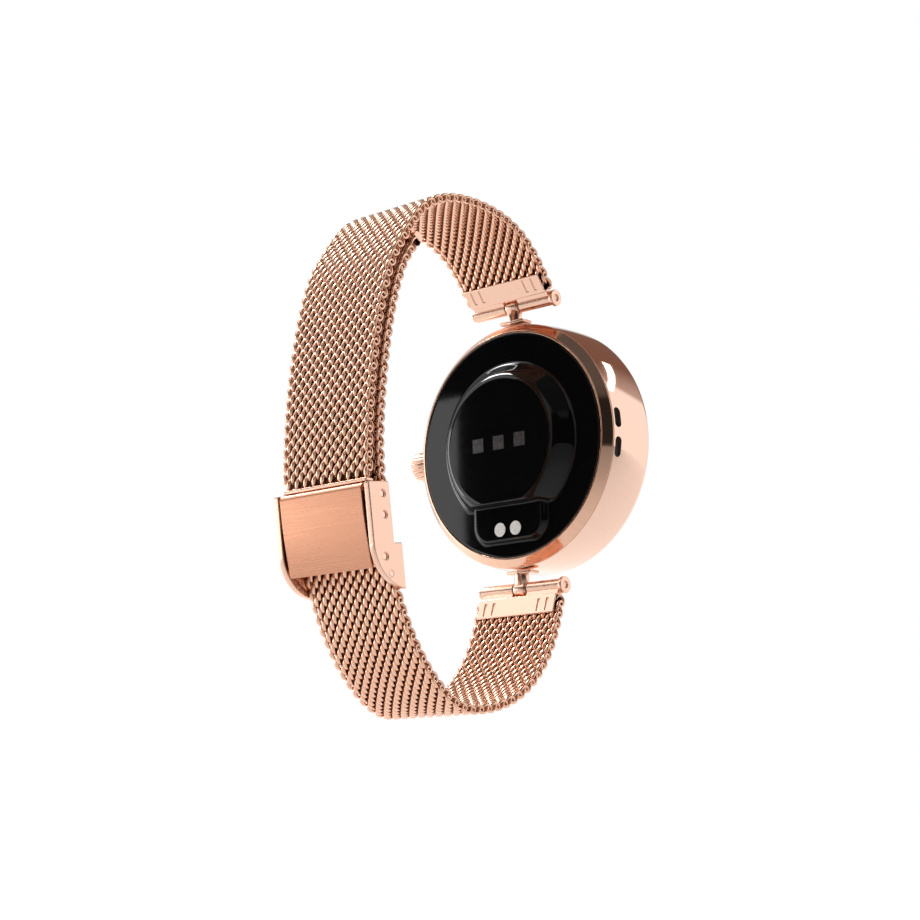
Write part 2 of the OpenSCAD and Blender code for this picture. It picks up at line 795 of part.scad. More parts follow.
module strap_12_mesh() {
  color(rose) slab(-mesh_w / 2, mesh_w / 2) polygon(strip(path_12, mesh_t / 2));
}
module strap_6_mesh() {
  color(rose) slab(-mesh_w / 2, mesh_w / 2) polygon(strip(path_6, mesh_t / 2));
}
tongue_w = 10;
tongue_t = 0.5;
tongue_h = 0.95;
tongue_out = 1.3;
// A lip brazed to the end of the 12 o'clock mesh, with a tongue that seats over the top cross pin
module strap_12_hook() {
  tongue_y = clasp_y + tongue_out;
  lip_z = clasp_z + lip_low;
  lip_w = mesh_w - 2 * seat;
  color(rose_pale) {
    translate([-lip_w / 2, back_y - mesh_t / 2, lip_z]) cube([lip_w, mesh_t + seat, lip_h]);
    translate([-tongue_w / 2, tongue_y, lip_z]) cube([tongue_w, back_y - tongue_y, lip_h / 2]);
    translate([-tongue_w / 2, tongue_y, clasp_z - tongue_h]) cube([tongue_w, tongue_t, tongue_h]);
  }
}
tip_skin = 0.12;
tip_l = 1;
// A smooth sleeve over the free end of the 6 o'clock mesh, no longer than the path's last straight run
module strap_6_end_cap() {
  n = len(path_6);
  tip = path_6[n - 1];
  last = path_6[n - 1] - path_6[n - 2];
  grip = 0.8 * norm(last);
  half = mesh_t / 2 + tip_skin;
  color(rose_pale) translate([0, tip[0], tip[1]]) rotate([atan2(last[1], last[0]), 0, 0]) difference() {
    translate([-mesh_w / 2, -grip, -half]) cube([mesh_w, grip + tip_l, 2 * half]);
    translate([-mesh_w, -grip - over, -mesh_t / 2]) cube([2 * mesh_w, grip + over, mesh_t]);
  }
}

// ---- clasp ----
module wall_outline() {
  intersection() {
    union() {
      translate([0, -clasp_len]) square([clasp_h, clasp_len]);
      translate([-tab_drop, -clasp_len]) square([tab_drop + tab_overlap, clasp_len + floor_zs[1]]);
    }
    union() {
      translate([-clasp_len, -clasp_len + clasp_corner_r]) square([2 * clasp_len, clasp_len]);
      translate([clasp_h - clasp_corner_r, -clasp_len + clasp_corner_r]) circle(r = clasp_corner_r);
    }
  }
}
// Short rivets inside the side walls only
module rivets() {
  for (s = [-1, 1]) at_clasp(rivet_pos)
    rod(cross_r, s < 0 ? -half_out : half_in, s < 0 ? -half_in : half_out);
}
module clasp_body() {
  color(rose_pale) in_clasp() difference() {
    union() {
      for (s = [-1, 1]) slab(s < 0 ? -half_out : half_in, s < 0 ? -half_in : half_out) wall_outline();
      translate([-half_out, floor_top - floor_t, floor_zs[0]])
        cube([2 * half_out, floor_t, floor_zs[1] - floor_zs[0]]);
    }
    for (p = concat(cross_pins, [lock_pos])) at_clasp(p) rod(cross_r, -half_out - over, half_out + over);
    at_clasp(hinge_pos) rod(trunnion_r + run, -half_out + trunnion_skin, half_out - trunnion_skin);
    rivets();
  }
}
module cross_pin(p) {
  at_clasp(p) rod(cross_r, -half_out + cross_sink, half_out - cross_sink);
}
module clasp_cross_pins() {
  color(rose) in_clasp() {
    for (p = cross_pins) cross_pin(p);
    rivets();
  }
}
module clasp_lock_pin() {
  color(rose) in_clasp() cross_pin(lock_pos);
}
module clasp_lock_plate() {
  color(rose) in_clasp() difference() {
    union() {
      at_clasp(lock_pos) rod(lock_barrel_r, -lock_half, lock_half);
      translate([-lock_half, lock_pos[0] + lock_plate_out, lock_pos[1]])
        cube([2 * lock_half, lock_plate_t, lock_plate_l]);
    }
    at_clasp(lock_pos) rod(cross_r + run, -half_out, half_out);
    block(
      [lock_slot[0], 2 * lock_barrel_r, lock_slot[1]],
      [0, lock_pos[0] + lock_barrel_r, lock_pos[1] + lock_slot_up]
    );
  }
}
module cover_section() {
  centre = [hinge_pos[0] + hinge_r - cover_curve_r, cover_centre_up];
  translate(hinge_pos) circle(r = hinge_r);
  intersection() {
    difference() {
      translate(centre) circle(r = cover_curve_r, $fn = 256);
      translate(centre) circle(r = cover_curve_r - cover_t, $fn = 256);
    }
    translate([0, -cover_len]) square([clasp_h + over, cover_len + hinge_pos[1]]);
  }
}
module clasp_cover() {
  color(rose) in_clasp() {
    slab(-cover_half, cover_half) cover_section();
    at_clasp(hinge_pos) rod(trunnion_r, -half_out + trunnion_skin + seat, half_out - trunnion_skin - seat);
  }
}

case_shell();
back_ring();
back_cover();
back_gasket();
sensor_windows();
sensor_board();
optical_sensors();
light_shield();
charge_contacts();
sensor_flex();
inner_frame();
battery();
battery_pad();
main_board();
board_shield();
board_screws();
motor_can();
motor_shaft();
motor_rotor();
microphone();
dust_mesh();
display_flex();
bezel();
display_glass();
display_panel();
display_gasket();
lug_12();
lug_6();
crown_tube();
crown_seals();
crown_switch();
crown_stem();
crown_clip();
crown_spring();
crown_wheel();
strap_12_clamp();
strap_12_pin();
strap_12_mesh();
strap_12_hook();
strap_6_clamp();
strap_6_pin();
strap_6_mesh();
strap_6_end_cap();
clasp_body();
clasp_cross_pins();
clasp_lock_pin();
clasp_lock_plate();
clasp_cover();
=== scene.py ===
import json
import math

import bmesh
import bpy
import numpy as np
from mathutils import Matrix, Vector


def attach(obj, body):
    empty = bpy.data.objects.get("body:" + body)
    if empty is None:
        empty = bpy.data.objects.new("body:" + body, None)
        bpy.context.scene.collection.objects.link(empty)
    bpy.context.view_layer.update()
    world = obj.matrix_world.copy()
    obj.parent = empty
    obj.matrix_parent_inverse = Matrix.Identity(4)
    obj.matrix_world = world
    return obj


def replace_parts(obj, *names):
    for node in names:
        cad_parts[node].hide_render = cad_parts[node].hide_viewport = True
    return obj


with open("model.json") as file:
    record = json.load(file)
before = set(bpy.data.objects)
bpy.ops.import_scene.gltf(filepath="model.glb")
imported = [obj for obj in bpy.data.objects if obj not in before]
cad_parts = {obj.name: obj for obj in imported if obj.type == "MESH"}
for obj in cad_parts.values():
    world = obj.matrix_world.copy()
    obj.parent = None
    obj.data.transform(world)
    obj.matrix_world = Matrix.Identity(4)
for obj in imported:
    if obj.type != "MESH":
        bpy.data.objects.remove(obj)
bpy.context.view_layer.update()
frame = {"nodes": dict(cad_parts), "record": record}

MM = 0.001
nodes = frame["nodes"]

# ---------------------------------------------------------------- sizes shared with the CAD source, in mm
CASE_R, CASE_T, SHELL_END = 19.05, 10.2, 9.1
BARREL_R, BARREL_DEPTH = 48, 7.4
BORE_R, COVER_R, RIM_BEVEL, BEZEL_W = 17.75, 17.1, 1.25, 0.75
SLOT_LEN, SLOT_W, SLOT_PITCH, SLOT_MID_Z, SLOT_DEPTH = 3.0, 1.3, 4.35, -0.5, 2.2
CROWN_DEPTH, CROWN_TUBE_R = 4.4, 1.3
DOME_H, DOME_R, DOME_FLANK = 2.6, 10.4, 2.0
TAB_HALF, TAB_REACH, TAB_CORNER = 7.0, 15.0, 3.0
BAR_Y, BAR_Z = -DOME_H - 2.3, CASE_R + 2.7
TUBE_R, PIN_R, LUG_R, LUG_HALF, CAP_T = 1.0, 0.5, 1.2, 1.2, 0.6
MESH_W, MESH_T, LAP, MESH_START = 15.9, 1.4, 2.05, 1.85
BAR_HALF = MESH_W / 2 + 0.15
CLAMP_T, CLAMP_LEN, CLAMP_FROM, CLAMP_WEB, CLAMP_HALF = 0.3, 4.6, TUBE_R + 0.5, 0.6, MESH_W / 2 - 0.65
BACK_Y, APEX_Z, DEEP_Z = 38.65 - DOME_H, BAR_Z + 10.75, -BAR_Z - 18.65
LEAVE_12, LEAVE_6, TURN_A, ENTRY_A = 53, 72, -52, 81
LAP_STOP, TAIL_TURN = 0.9, 0.8
CLASP_Y, CLASP_Z, LEAN = BACK_Y - LAP - 0.3, -10.9, math.radians(6.5)
CLASP_H, CLASP_LEN, CORNER_R, TAB_DROP, TAB_TOP = 3.85, 14.4, 6.25, 1.5, -8.2
HALF_IN = MESH_W / 2 + 0.15
HALF_OUT = HALF_IN + 0.95
COVER_HALF, COVER_T, COVER_LEN, COVER_CURVE_R, COVER_MID = HALF_IN - 0.4, 0.45, 11.3, 70.0, -1.0
HINGE_R, HINGE_PROUD, TRUNNION_R = 0.78, 0.15, 0.4
HINGE = np.array([CLASP_H + HINGE_PROUD - HINGE_R, -HINGE_R])
LIP_LOW, LIP_H, TONGUE_HALF, TONGUE_T, TONGUE_H, TONGUE_OUT = -0.2, 0.55, 5.0, 0.5, 0.95, 1.3
SKIN = 0.005  # how far a visual face stays inside its CAD face

# ---------------------------------------------------------------- camera
YAW, PITCH, ROLL = math.radians(40.950), math.radians(10.464), math.radians(-1.307)
EYE, SENSOR, LENS = Vector((-174.165, 209.521, -52.853)) * MM, 36, 72.57
forward = Vector((math.sin(YAW) * math.cos(PITCH), -math.cos(YAW) * math.cos(PITCH), math.sin(PITCH)))
right = forward.cross(Vector((0, 0, 1))).normalized()
up = right.cross(forward)
right_r = right * math.cos(ROLL) + up * math.sin(ROLL)
up_r = up * math.cos(ROLL) - right * math.sin(ROLL)
cam = bpy.data.objects.new("camera", bpy.data.cameras.new("camera"))
bpy.context.scene.collection.objects.link(cam)
cam.data.sensor_width = SENSOR
cam.data.lens = LENS
cam.data.clip_start, cam.data.clip_end = 0.01, 20
cam.matrix_world = Matrix.Translation(EYE) @ Matrix((right_r, up_r, -forward)).transposed().to_4x4()
bpy.context.scene.camera = cam
bpy.context.scene.view_settings.view_transform = "Standard"
bpy.context.scene.view_settings.look = "None"


# ---------------------------------------------------------------- node helpers
class Tree:
    def __init__(self, tree):
        self.tree = tree
        tree.nodes.clear()

    def add(self, kind, **values):
        node = self.tree.nodes.new(kind)
        for key, value in values.items():
            setattr(node, key, value)
        return node

    def link(self, a, b):
        self.tree.links.new(a, b)

    def feed(self, socket, value):
        if isinstance(value, bpy.types.NodeSocket):
            self.link(value, socket)
        else:
            socket.default_value = value

    def math(self, op, a, b=0.0, c=None):
        node = self.add("ShaderNodeMath", operation=op)
        self.feed(node.inputs[0], a)
        self.feed(node.inputs[1], b)
        if c is not None:
            self.feed(node.inputs[2], c)
        return node.outputs[0]

    def vec(self, op, a, b=(0, 0, 0)):
        node = self.add("ShaderNodeVectorMath", operation=op)
        self.feed(node.inputs[0], a)
        self.feed(node.inputs[1], b)
        return node.outputs["Value"] if op in ("DOT_PRODUCT", "LENGTH") else node.outputs[0]

    def ramp(self, fac, low, high):
        """A colour that runs from low at 0.3 to high at 0.7."""
        node = self.add("ShaderNodeValToRGB")
        for element, at, colour in zip(node.color_ramp.elements, (0.3, 0.7), (low, high)):
            element.position = at
            element.color = (*colour, 1)
        self.feed(node.inputs[0], fac)
        return node.outputs[0]

    def noise(self, scale, stretch=(1, 1, 1), detail=3.0):
        coord = self.add("ShaderNodeTexCoord").outputs["Object"]
        mapping = self.add("ShaderNodeMapping")
        mapping.inputs["Scale"].default_value = stretch
        self.link(coord, mapping.inputs[0])
        node = self.add("ShaderNodeTexNoise")
        node.inputs["Scale"].default_value = scale
        node.inputs["Detail"].default_value = detail
        node.inputs["Roughness"].default_value = 0.55
        self.link(mapping.outputs[0], node.inputs["Vector"])
        return node.outputs[0]


def grey(v):
    return (v, v, v)


def surface(name):
    """A new material: its tree and its principled shader, linked to the output."""
    mat = bpy.data.materials.new(name)
    mat.use_nodes = True
    t = Tree(mat.node_tree)
    p = t.add("ShaderNodeBsdfPrincipled")
    t.link(p.outputs[0], t.add("ShaderNodeOutputMaterial").inputs[0])
    return mat, t, p


def relief(t, p, height, distance):
    bump = t.add("ShaderNodeBump")
    bump.inputs["Strength"].default_value = 1.0
    bump.inputs["Distance"].default_value = distance
    t.link(height, bump.inputs["Height"])
    t.link(bump.outputs[0], p.inputs["Normal"])


def metal(name, base, rough, metallic=1.0, vary=0.06, scale=900.0, stretch=(1, 1, 1), bump=0.0,
          bump_scale=None, spec=0.5):
    """A procedural finish: colour, roughness and fine relief all follow noise in the object's own space."""
    wear = 0.25
    mat, t, p = surface(name)
    p.inputs["Metallic"].default_value = metallic
    p.inputs["Specular IOR Level"].default_value = spec
    fine = t.noise(bump_scale or scale, stretch)
    broad = t.noise(scale / 9, (1, 1, 1), 2.0)
    low = tuple(c * (1 - vary) for c in base)
    high = tuple(min(1.0, c * (1 + vary)) for c in base)
    mixed = t.math("MULTIPLY_ADD", fine, 0.6, t.math("MULTIPLY", broad, 0.4))
    t.link(t.ramp(mixed, low, high), p.inputs["Base Color"])
    t.link(t.ramp(mixed, grey(rough * (1 - wear)), grey(min(1, rough * (1 + wear)))), p.inputs["Roughness"])
    if bump:
        relief(t, p, fine, bump)
    return mat


def plain(name, base, rough, vary, scale, **more):
    return metal(name, base, rough, metallic=0.0, vary=vary, scale=scale, **more)


def ring_material():
    """Polished metal with fine radial brushing about the case axis."""
    mat, t, p = surface("rose_ring")
    p.inputs["Metallic"].default_value = 1.0
    xyz = t.add("ShaderNodeSeparateXYZ")
    t.link(t.add("ShaderNodeTexCoord").outputs["Object"], xyz.inputs[0])
    angle = t.math("ARCTAN2", xyz.outputs[2], xyz.outputs[0])
    polar = t.add("ShaderNodeCombineXYZ")
    t.link(t.math("MULTIPLY", angle, 120.0), polar.inputs[0])
    t.link(t.math("MULTIPLY", xyz.outputs[1], 300.0), polar.inputs[1])
    streak = t.add("ShaderNodeTexNoise")
    streak.inputs["Scale"].default_value = 1.5
    streak.inputs["Detail"].default_value = 4.0
    t.link(polar.outputs[0], streak.inputs["Vector"])
    t.link(t.ramp(streak.outputs[0], (0.88, 0.53, 0.37), (0.93, 0.59, 0.43)), p.inputs["Base Color"])
    t.link(t.ramp(streak.outputs[0], grey(0.06), grey(0.12)), p.inputs["Roughness"])
    relief(t, p, streak.outputs[0], 2.5e-7)
    return mat


mats = {
    "rose_gold_polished": metal("rose_polished", (0.93, 0.64, 0.51), 0.05, vary=0.02, scale=500,
                                bump=6e-8, bump_scale=1500),
    "rose_gold_brushed": metal("rose_brushed", (0.86, 0.45, 0.29), 0.34, vary=0.05, scale=600,
                               stretch=(1, 14, 14), bump=1.6e-6, bump_scale=900),
    "rose_gold_satin": metal("rose_satin", (0.93, 0.605, 0.46), 0.24, vary=0.03, scale=700,
                             bump=2e-7, bump_scale=2500),
    "mesh_steel": metal("rose_wire", (0.93, 0.56, 0.395), 0.25, scale=1500, bump=1.0e-6, bump_scale=5000),
    "contact_metal": metal("contact_metal", (0.78, 0.74, 0.70), 0.30, vary=0.05, scale=2500, bump=1e-6),
    "steel": metal("steel", (0.62, 0.63, 0.65), 0.28, scale=1500, stretch=(8, 1, 1), bump=6e-7),
    "tungsten": metal("tungsten", (0.52, 0.47, 0.40), 0.5, vary=0.12, scale=3000, bump=4e-6),
    "battery_foil": metal("battery_foil", (0.70, 0.71, 0.73), 0.35, scale=500, bump=6e-6),
    "black_gloss": plain("black_gloss", (0.003, 0.003, 0.0034), 0.035, 0.3, 300, bump=2e-8, bump_scale=900,
                         spec=0.32),
    "sensor_window": plain("sensor_window", (0.062, 0.060, 0.060), 0.12, 0.5, 1500),
    "display_glass": plain("display_glass", (0.006, 0.006, 0.008), 0.03, 0.3, 200),
    "display": plain("display_panel", (0.02, 0.02, 0.026), 0.3, 0.3, 400),
    "circuit_board": plain("circuit_board", (0.03, 0.16, 0.08), 0.4, 0.3, 700),
    "electronics": plain("electronics", (0.70, 0.68, 0.60), 0.45, 0.12, 1200),
    "flex_cable": plain("flex_cable", (0.55, 0.28, 0.07), 0.35, 0.15, 900),
    "dark_plastic": plain("dark_plastic", (0.035, 0.035, 0.038), 0.45, 0.2, 2500, bump=4e-6),
    "seal_rubber": plain("seal_rubber", (0.02, 0.02, 0.02), 0.75, 0.25, 2500, bump=3e-6),
    "ring": ring_material(),
    # the clasp cover: a darker copy of the brushed rose gold, painted shade in its base colour; the stretched
    # noise is its real brushing
    "cover": metal("rose_cover_shaded_copy", (0.69, 0.335, 0.21), 0.31, vary=0.035, scale=300, stretch=(0.3, 18, 18),
                   bump=3e-7, bump_scale=330),
    # dark strips inside the weave: painted shade in the gaps between the wires
    "shade_sheet": metal("rose_painted_shade", (0.20, 0.095, 0.06), 0.6, vary=0.3),
}
slot_of = {s["node"]: s["material_slot"] for s in frame["record"]["subparts"]}
for name, ob in nodes.items():
    ob.data.materials.clear()
    ob.data.materials.append(mats[slot_of[name]])


# ---------------------------------------------------------------- pieces
def new_piece(name, verts, faces, slot, body, smooth=True):
    mesh = bpy.data.meshes.new(name)
    mesh.from_pydata(verts, [], faces)
    mesh.update()
    ob = bpy.data.objects.new(name, mesh)
    bpy.context.scene.collection.objects.link(ob)
    if smooth:
        mesh.polygons.foreach_set("use_smooth", [True] * len(mesh.polygons))
    mesh.materials.append(mats[slot])
    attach(ob, body)
    return ob


def outward(ob):
    bm = bmesh.new()
    bm.from_mesh(ob.data)
    bmesh.ops.recalc_face_normals(bm, faces=bm.faces)
    bm.to_mesh(ob.data)
    bm.free()
    return ob


def applied(ob):
    """Puts the result of an object's modifiers in its place."""
    bpy.context.view_layer.update()
    done = bpy.data.meshes.new_from_object(ob.evaluated_get(bpy.context.evaluated_depsgraph_get()))
    ob.modifiers.clear()
    ob.data = done


def weigh(ob, angle=35.0):
    """Smooth shading in which large flat faces stay flat and only the rounded edges turn."""
    ob.data.polygons.foreach_set("use_smooth", [True] * len(ob.data.polygons))
    ob.data.set_sharp_from_angle(angle=math.radians(angle))
    mod = ob.modifiers.new("weights", "WEIGHTED_NORMAL")
    mod.mode = "FACE_AREA"
    mod.weight = 100
    mod.keep_sharp = True
    applied(ob)


def soften(node, width, body):
    """A copy of a CAD node whose sharp edges are rounded, as plated metal's are."""
    bm = bmesh.new()
    bm.from_mesh(nodes[node].data)
    bmesh.ops.remove_doubles(bm, verts=bm.verts, dist=2e-6)
    bmesh.ops.dissolve_limit(bm, angle_limit=math.radians(0.4), verts=bm.verts, edges=bm.edges)
    mesh = bpy.data.meshes.new(node + "_soft")
    bm.to_mesh(mesh)
    bm.free()
    ob = bpy.data.objects.new(node + "_soft", mesh)
    bpy.context.scene.collection.objects.link(ob)
    bevel = ob.modifiers.new("edges", "BEVEL")
    bevel.width = width * MM
    bevel.segments = 3
    bevel.limit_method = "ANGLE"
    bevel.angle_limit = math.radians(28)
    bevel.use_clamp_overlap = True
    bevel.miter_outer = "MITER_ARC"
    applied(ob)
    weigh(ob)
    ob.data.materials.clear()
    ob.data.materials.append(mats[slot_of[node]])
    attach(ob, body)
    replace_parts(ob, node)


# ---------------------------------------------------------------- strap curves, as in the CAD source, in mm
def heading(a):
    return np.array([math.cos(math.radians(a)), math.sin(math.radians(a))])


def bez(c, t):
    t = np.asarray(t, float)[:, None]
    return (1 - t) ** 3 * c[0] + 3 * (1 - t) ** 2 * t * c[1] + 3 * (1 - t) * t * t * c[2] + t ** 3 * c[3]


def bez_shift(c, t, d):
    t1 = np.asarray(t, float)[:, None]
    v = 3 * (1 - t1) ** 2 * (c[1] - c[0]) + 6 * (1 - t1) * t1 * (c[2] - c[1]) + 3 * t1 * t1 * (c[3] - c[2])
    v /= np.linalg.norm(v, axis=1)[:, None]
    return bez(c, t) + d * np.stack([v[:, 1], -v[:, 0]], 1)


bar_12, bar_6 = np.array([BAR_Y, BAR_Z]), np.array([BAR_Y, -BAR_Z])
free_12 = bar_12 + CLAMP_LEN * heading(LEAVE_12)
apex = np.array([13.4, APEX_Z])
turn = np.array([BACK_Y - 6.6, APEX_Z - 9.7])
back_12 = np.array([BACK_Y, CLASP_Z + 1.9])
c12a = [free_12, free_12 + 4.2 * heading(LEAVE_12), apex - [9.4, 0], apex]
c12b = [apex, apex + [10.9, 0], turn - 5.4 * heading(TURN_A), turn]
c12c = [turn, turn + 5.9 * heading(TURN_A), back_12 + [0, 12], back_12]
free_6 = bar_6 + CLAMP_LEN * heading(-LEAVE_6)
deep = np.array([16.4, DEEP_Z])
entry = np.array([BACK_Y - 3.45, CLASP_Z - 8.1])
c6a = [free_6, free_6 + 12 * heading(-LEAVE_6), deep - [7.4, 0], deep]
c6b = [deep, deep + [6, 0], entry - 12 * heading(ENTRY_A), entry]
tail_low = bez_shift(c12c, [LAP_STOP], LAP)[0]
c6c = [entry, entry + 4 * heading(ENTRY_A), tail_low - [0, 4], tail_low]
tip_from, TIP_AT = bez_shift(c12b, [1 - (1 - TAIL_TURN) * 0.75, TAIL_TURN], LAP)
TIP_DIR = (TIP_AT - tip_from) / np.linalg.norm(TIP_AT - tip_from)
TIP_GRIP = 0.8 * np.linalg.norm(TIP_AT - tip_from)
T = np.linspace(0, 1, 80)
start_12, start_6 = bar_12 + MESH_START * heading(LEAVE_12), bar_6 + MESH_START * heading(-LEAVE_6)
path_12 = np.vstack([[start_12], bez(c12a, T), bez(c12b, T)[1:], bez(c12c, T)[1:],
                     [[BACK_Y, CLASP_Z + LIP_LOW + LIP_H]]])
tail_back = bez_shift(c12c, LAP_STOP * (1 - T[1:]), LAP)
tail_top = bez_shift(c12b, 1 - (1 - TAIL_TURN) * T[1:], LAP)
path_6 = np.vstack([[start_6], bez(c6a, T), bez(c6b, T)[1:], bez(c6c, T[::4])[1:], tail_back, tail_top])


class Track:
    """A strap's middle line, walked by arc length, with the outward normal."""

    def __init__(self, path, side):
        step = np.linalg.norm(np.diff(path, axis=0), axis=1)
        path = path[np.r_[True, step > 1e-6]]
        self.s = np.r_[0, np.cumsum(np.linalg.norm(np.diff(path, axis=0), axis=1))]
        self.length = self.s[-1]
        grid = np.linspace(0, self.length, 2400)
        fine = np.stack([np.interp(grid, self.s, path[:, k]) for k in (0, 1)], 1)
        tan = np.gradient(fine, axis=0)
        kernel = np.hanning(41)
        kernel /= kernel.sum()
        tan = np.stack([np.convolve(np.pad(tan[:, k], 20, mode="edge"), kernel, "valid") for k in (0, 1)], 1)
        tan /= np.linalg.norm(tan, axis=1)[:, None]
        self.grid, self.fine, self.tan = grid, fine, tan
        self.side = side

    def at(self, s, n):
        """World [y, z] in mm at arc length s and height n towards the outside."""
        sc = np.clip(s, 0, self.length)
        p = np.stack([np.interp(sc, self.grid, self.fine[:, k]) for k in (0, 1)], -1)
        t = np.stack([np.interp(sc, self.grid, self.tan[:, k]) for k in (0, 1)], -1)
        t /= np.linalg.norm(t, axis=-1)[..., None]
        nrm = np.stack([-t[..., 1], t[..., 0]], -1) * self.side
        return p + t * (s - sc)[..., None] + nrm * n[..., None]


# ---------------------------------------------------------------- woven mesh: one wire spiral per row
ROW, PITCH_X = 0.868, 1.63
HALF_S = 0.84
WIRE_H, WIRE_W, FLAT_W = 0.40, 0.46, 0.30
STEPS, SIDES = 18, 8
EDGE, EDGE_TURN, EDGE_REACH = 0.30, 0.9 * math.pi, 0.135 / math.tanh(1.3)
SINK = 0.03
TAPER = (0.35, 0.8)


def spiral(s_mid, lead, hand):
    """One wire across the strap, as rings of [x, arc length, height]."""
    half_n = MESH_T / 2 - WIRE_H / 2 + SINK
    reach = 2 * math.pi * (MESH_W / 2 - EDGE) / PITCH_X
    theta = np.arange(-reach - EDGE_TURN, reach + EDGE_TURN, 2 * math.pi / STEPS)
    flat = np.clip(theta, -reach, reach)
    x = PITCH_X * flat / (2 * math.pi) + EDGE_REACH * np.tanh((theta - flat) / 2.2)
    cs, sn = np.cos(theta + lead), np.sin(theta + lead)
    c = np.stack([x, s_mid - HALF_S * cs * hand, half_n * sn], 1)
    tan = np.gradient(c, axis=0)
    tan /= np.linalg.norm(tan, axis=1)[:, None]
    rad = np.stack([np.zeros_like(cs), -half_n * cs * hand, HALF_S * sn], 1)
    rad -= (rad * tan).sum(1)[:, None] * tan
    rad /= np.linalg.norm(rad, axis=1)[:, None]
    wid = np.cross(tan, rad)
    end = np.minimum(np.arange(len(cs)), np.arange(len(cs))[::-1])
    cap = np.where(end == 0, TAPER[0], np.where(end == 1, TAPER[1], 1.0))
    w = cap * (WIRE_W + FLAT_W * np.abs(sn) ** 1.5) / 2
    h = cap * WIRE_H / 2
    phi = np.linspace(0, 2 * np.pi, SIDES, endpoint=False)
    rings = (c[:, None, :] + w[:, None, None] * np.cos(phi)[None, :, None] * wid[:, None, :]
             + h[:, None, None] * np.sin(phi)[None, :, None] * rad[:, None, :])
    rings[..., 2] = np.clip(rings[..., 2], -MESH_T / 2, MESH_T / 2)
    rings[..., 0] = np.clip(rings[..., 0], -MESH_W / 2, MESH_W / 2)
    return rings


def weave(track, name, body, hand, s_from, s_to, parts, replaced):
    """A strap half of spiral wires, in so many pieces."""
    count = int(round((s_to - s_from) / ROW))
    row = (s_to - s_from) / count
    rows = [spiral(s_from + i * row, (i % 2) * math.pi, hand) for i in range(count + 1)]
    cuts = np.linspace(0, len(rows), parts + 1).astype(int)
    for k in range(parts):
        verts, faces, base = [], [], 0
        for rings in rows[cuts[k]:cuts[k + 1]]:
            m = len(rings)
            yz = track.at(rings[..., 1], rings[..., 2])
            verts.append(np.concatenate([rings[..., :1], yz], -1).reshape(-1, 3) * MM)
            a = np.arange(m - 1)[:, None] * SIDES + base
            j, j2 = np.arange(SIDES)[None], (np.arange(SIDES)[None] + 1) % SIDES
            quads = np.stack([a + j, a + j2, a + SIDES + j2, a + SIDES + j], -1).reshape(-1, 4)
            faces += [tuple(map(int, f)) for f in quads]
            first, last = range(base, base + SIDES), range(base + (m - 1) * SIDES, base + m * SIDES)
            faces += [tuple(first)[::-1], tuple(last)]
            base += m * SIDES
        ob = outward(new_piece(f"{name}_{k + 1}", np.vstack(verts).tolist(), faces, "mesh_steel", body))
        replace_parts(ob, replaced)


def shade_sheet(track, name, body, s_from, s_to, replaced):
    """A thin dark strip between the two faces of the weave: painted shade that darkens the gaps between the
    wires.
    """
    s = np.linspace(s_from, s_to, 260)
    half_x, half_n = MESH_W / 2 - 0.75, 0.16
    v, f = [], []
    for n, x in ((-half_n, -half_x), (-half_n, half_x), (half_n, half_x), (half_n, -half_x)):
        yz = track.at(s, np.full_like(s, n))
        v.append(np.stack([np.full_like(s, x), yz[:, 0], yz[:, 1]], -1))
    v = (np.stack(v, 1).reshape(-1, 3) * MM).tolist()
    for i in range(len(s) - 1):
        f += [(i * 4 + k, i * 4 + (k + 1) % 4, i * 4 + 4 + (k + 1) % 4, i * 4 + 4 + k) for k in range(4)]
    f += [(3, 2, 1, 0), tuple(range(4 * len(s) - 4, 4 * len(s)))]
    ob = outward(new_piece(name, v, f, "mesh_steel", body, smooth=False))
    ob.data.materials[0] = mats["shade_sheet"]
    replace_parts(ob, replaced)


track_12 = Track(path_12, 1)
track_6 = Track(path_6, -1)
weave(track_12, "mesh_12", "strap_12", 1, 0.75, track_12.length - 0.9, 2, "strap_12_mesh")
weave(track_6, "mesh_6", "strap_6", -1, 0.75, track_6.length - 0.75, 3, "strap_6_mesh")
# dark strips inside both straps: painted shade seen through the gaps of the weave
shade_sheet(track_12, "shade_sheet_12", "strap_12", 0.3, track_12.length - 0.3, "strap_12_mesh")
shade_sheet(track_6, "shade_sheet_6", "strap_6", 0.3, track_6.length - 0.3, "strap_6_mesh")

# ---------------------------------------------------------------- rounded metal pieces
for node, width, body in [
    ("strap_12_pin", 0.14, "strap_12"), ("strap_6_pin", 0.14, "strap_6"),
    ("clasp_cross_pins", 0.10, "clasp"), ("clasp_lock_pin", 0.10, "clasp"),
    ("clasp_lock_plate", 0.10, "clasp_lock"), ("crown_wheel", 0.10, "crown_turn"),
]:
    soften(node, width, body)

# ---------------------------------------------------------------- outlines
def fillet(points, radii, n=6):
    """Rounds the corners of a closed [r, depth] outline."""
    out = []
    m = len(points)
    for i in range(m):
        p = np.array(points[i], float)
        a, b = np.array(points[i - 1], float) - p, np.array(points[(i + 1) % m], float) - p
        r = radii[i]
        if r <= 0:
            out.append(p)
            continue
        la, lb = np.linalg.norm(a), np.linalg.norm(b)
        half = math.acos(max(-1, min(1, float(a @ b) / la / lb))) / 2
        cut = min(r / math.tan(half), 0.48 * la, 0.48 * lb)
        p0, p1 = p + a / la * cut, p + b / lb * cut
        for k in range(n + 1):
            u = k / n
            out.append((1 - u) ** 2 * p0 + 2 * u * (1 - u) * p + u * u * p1)
    return np.array(out)


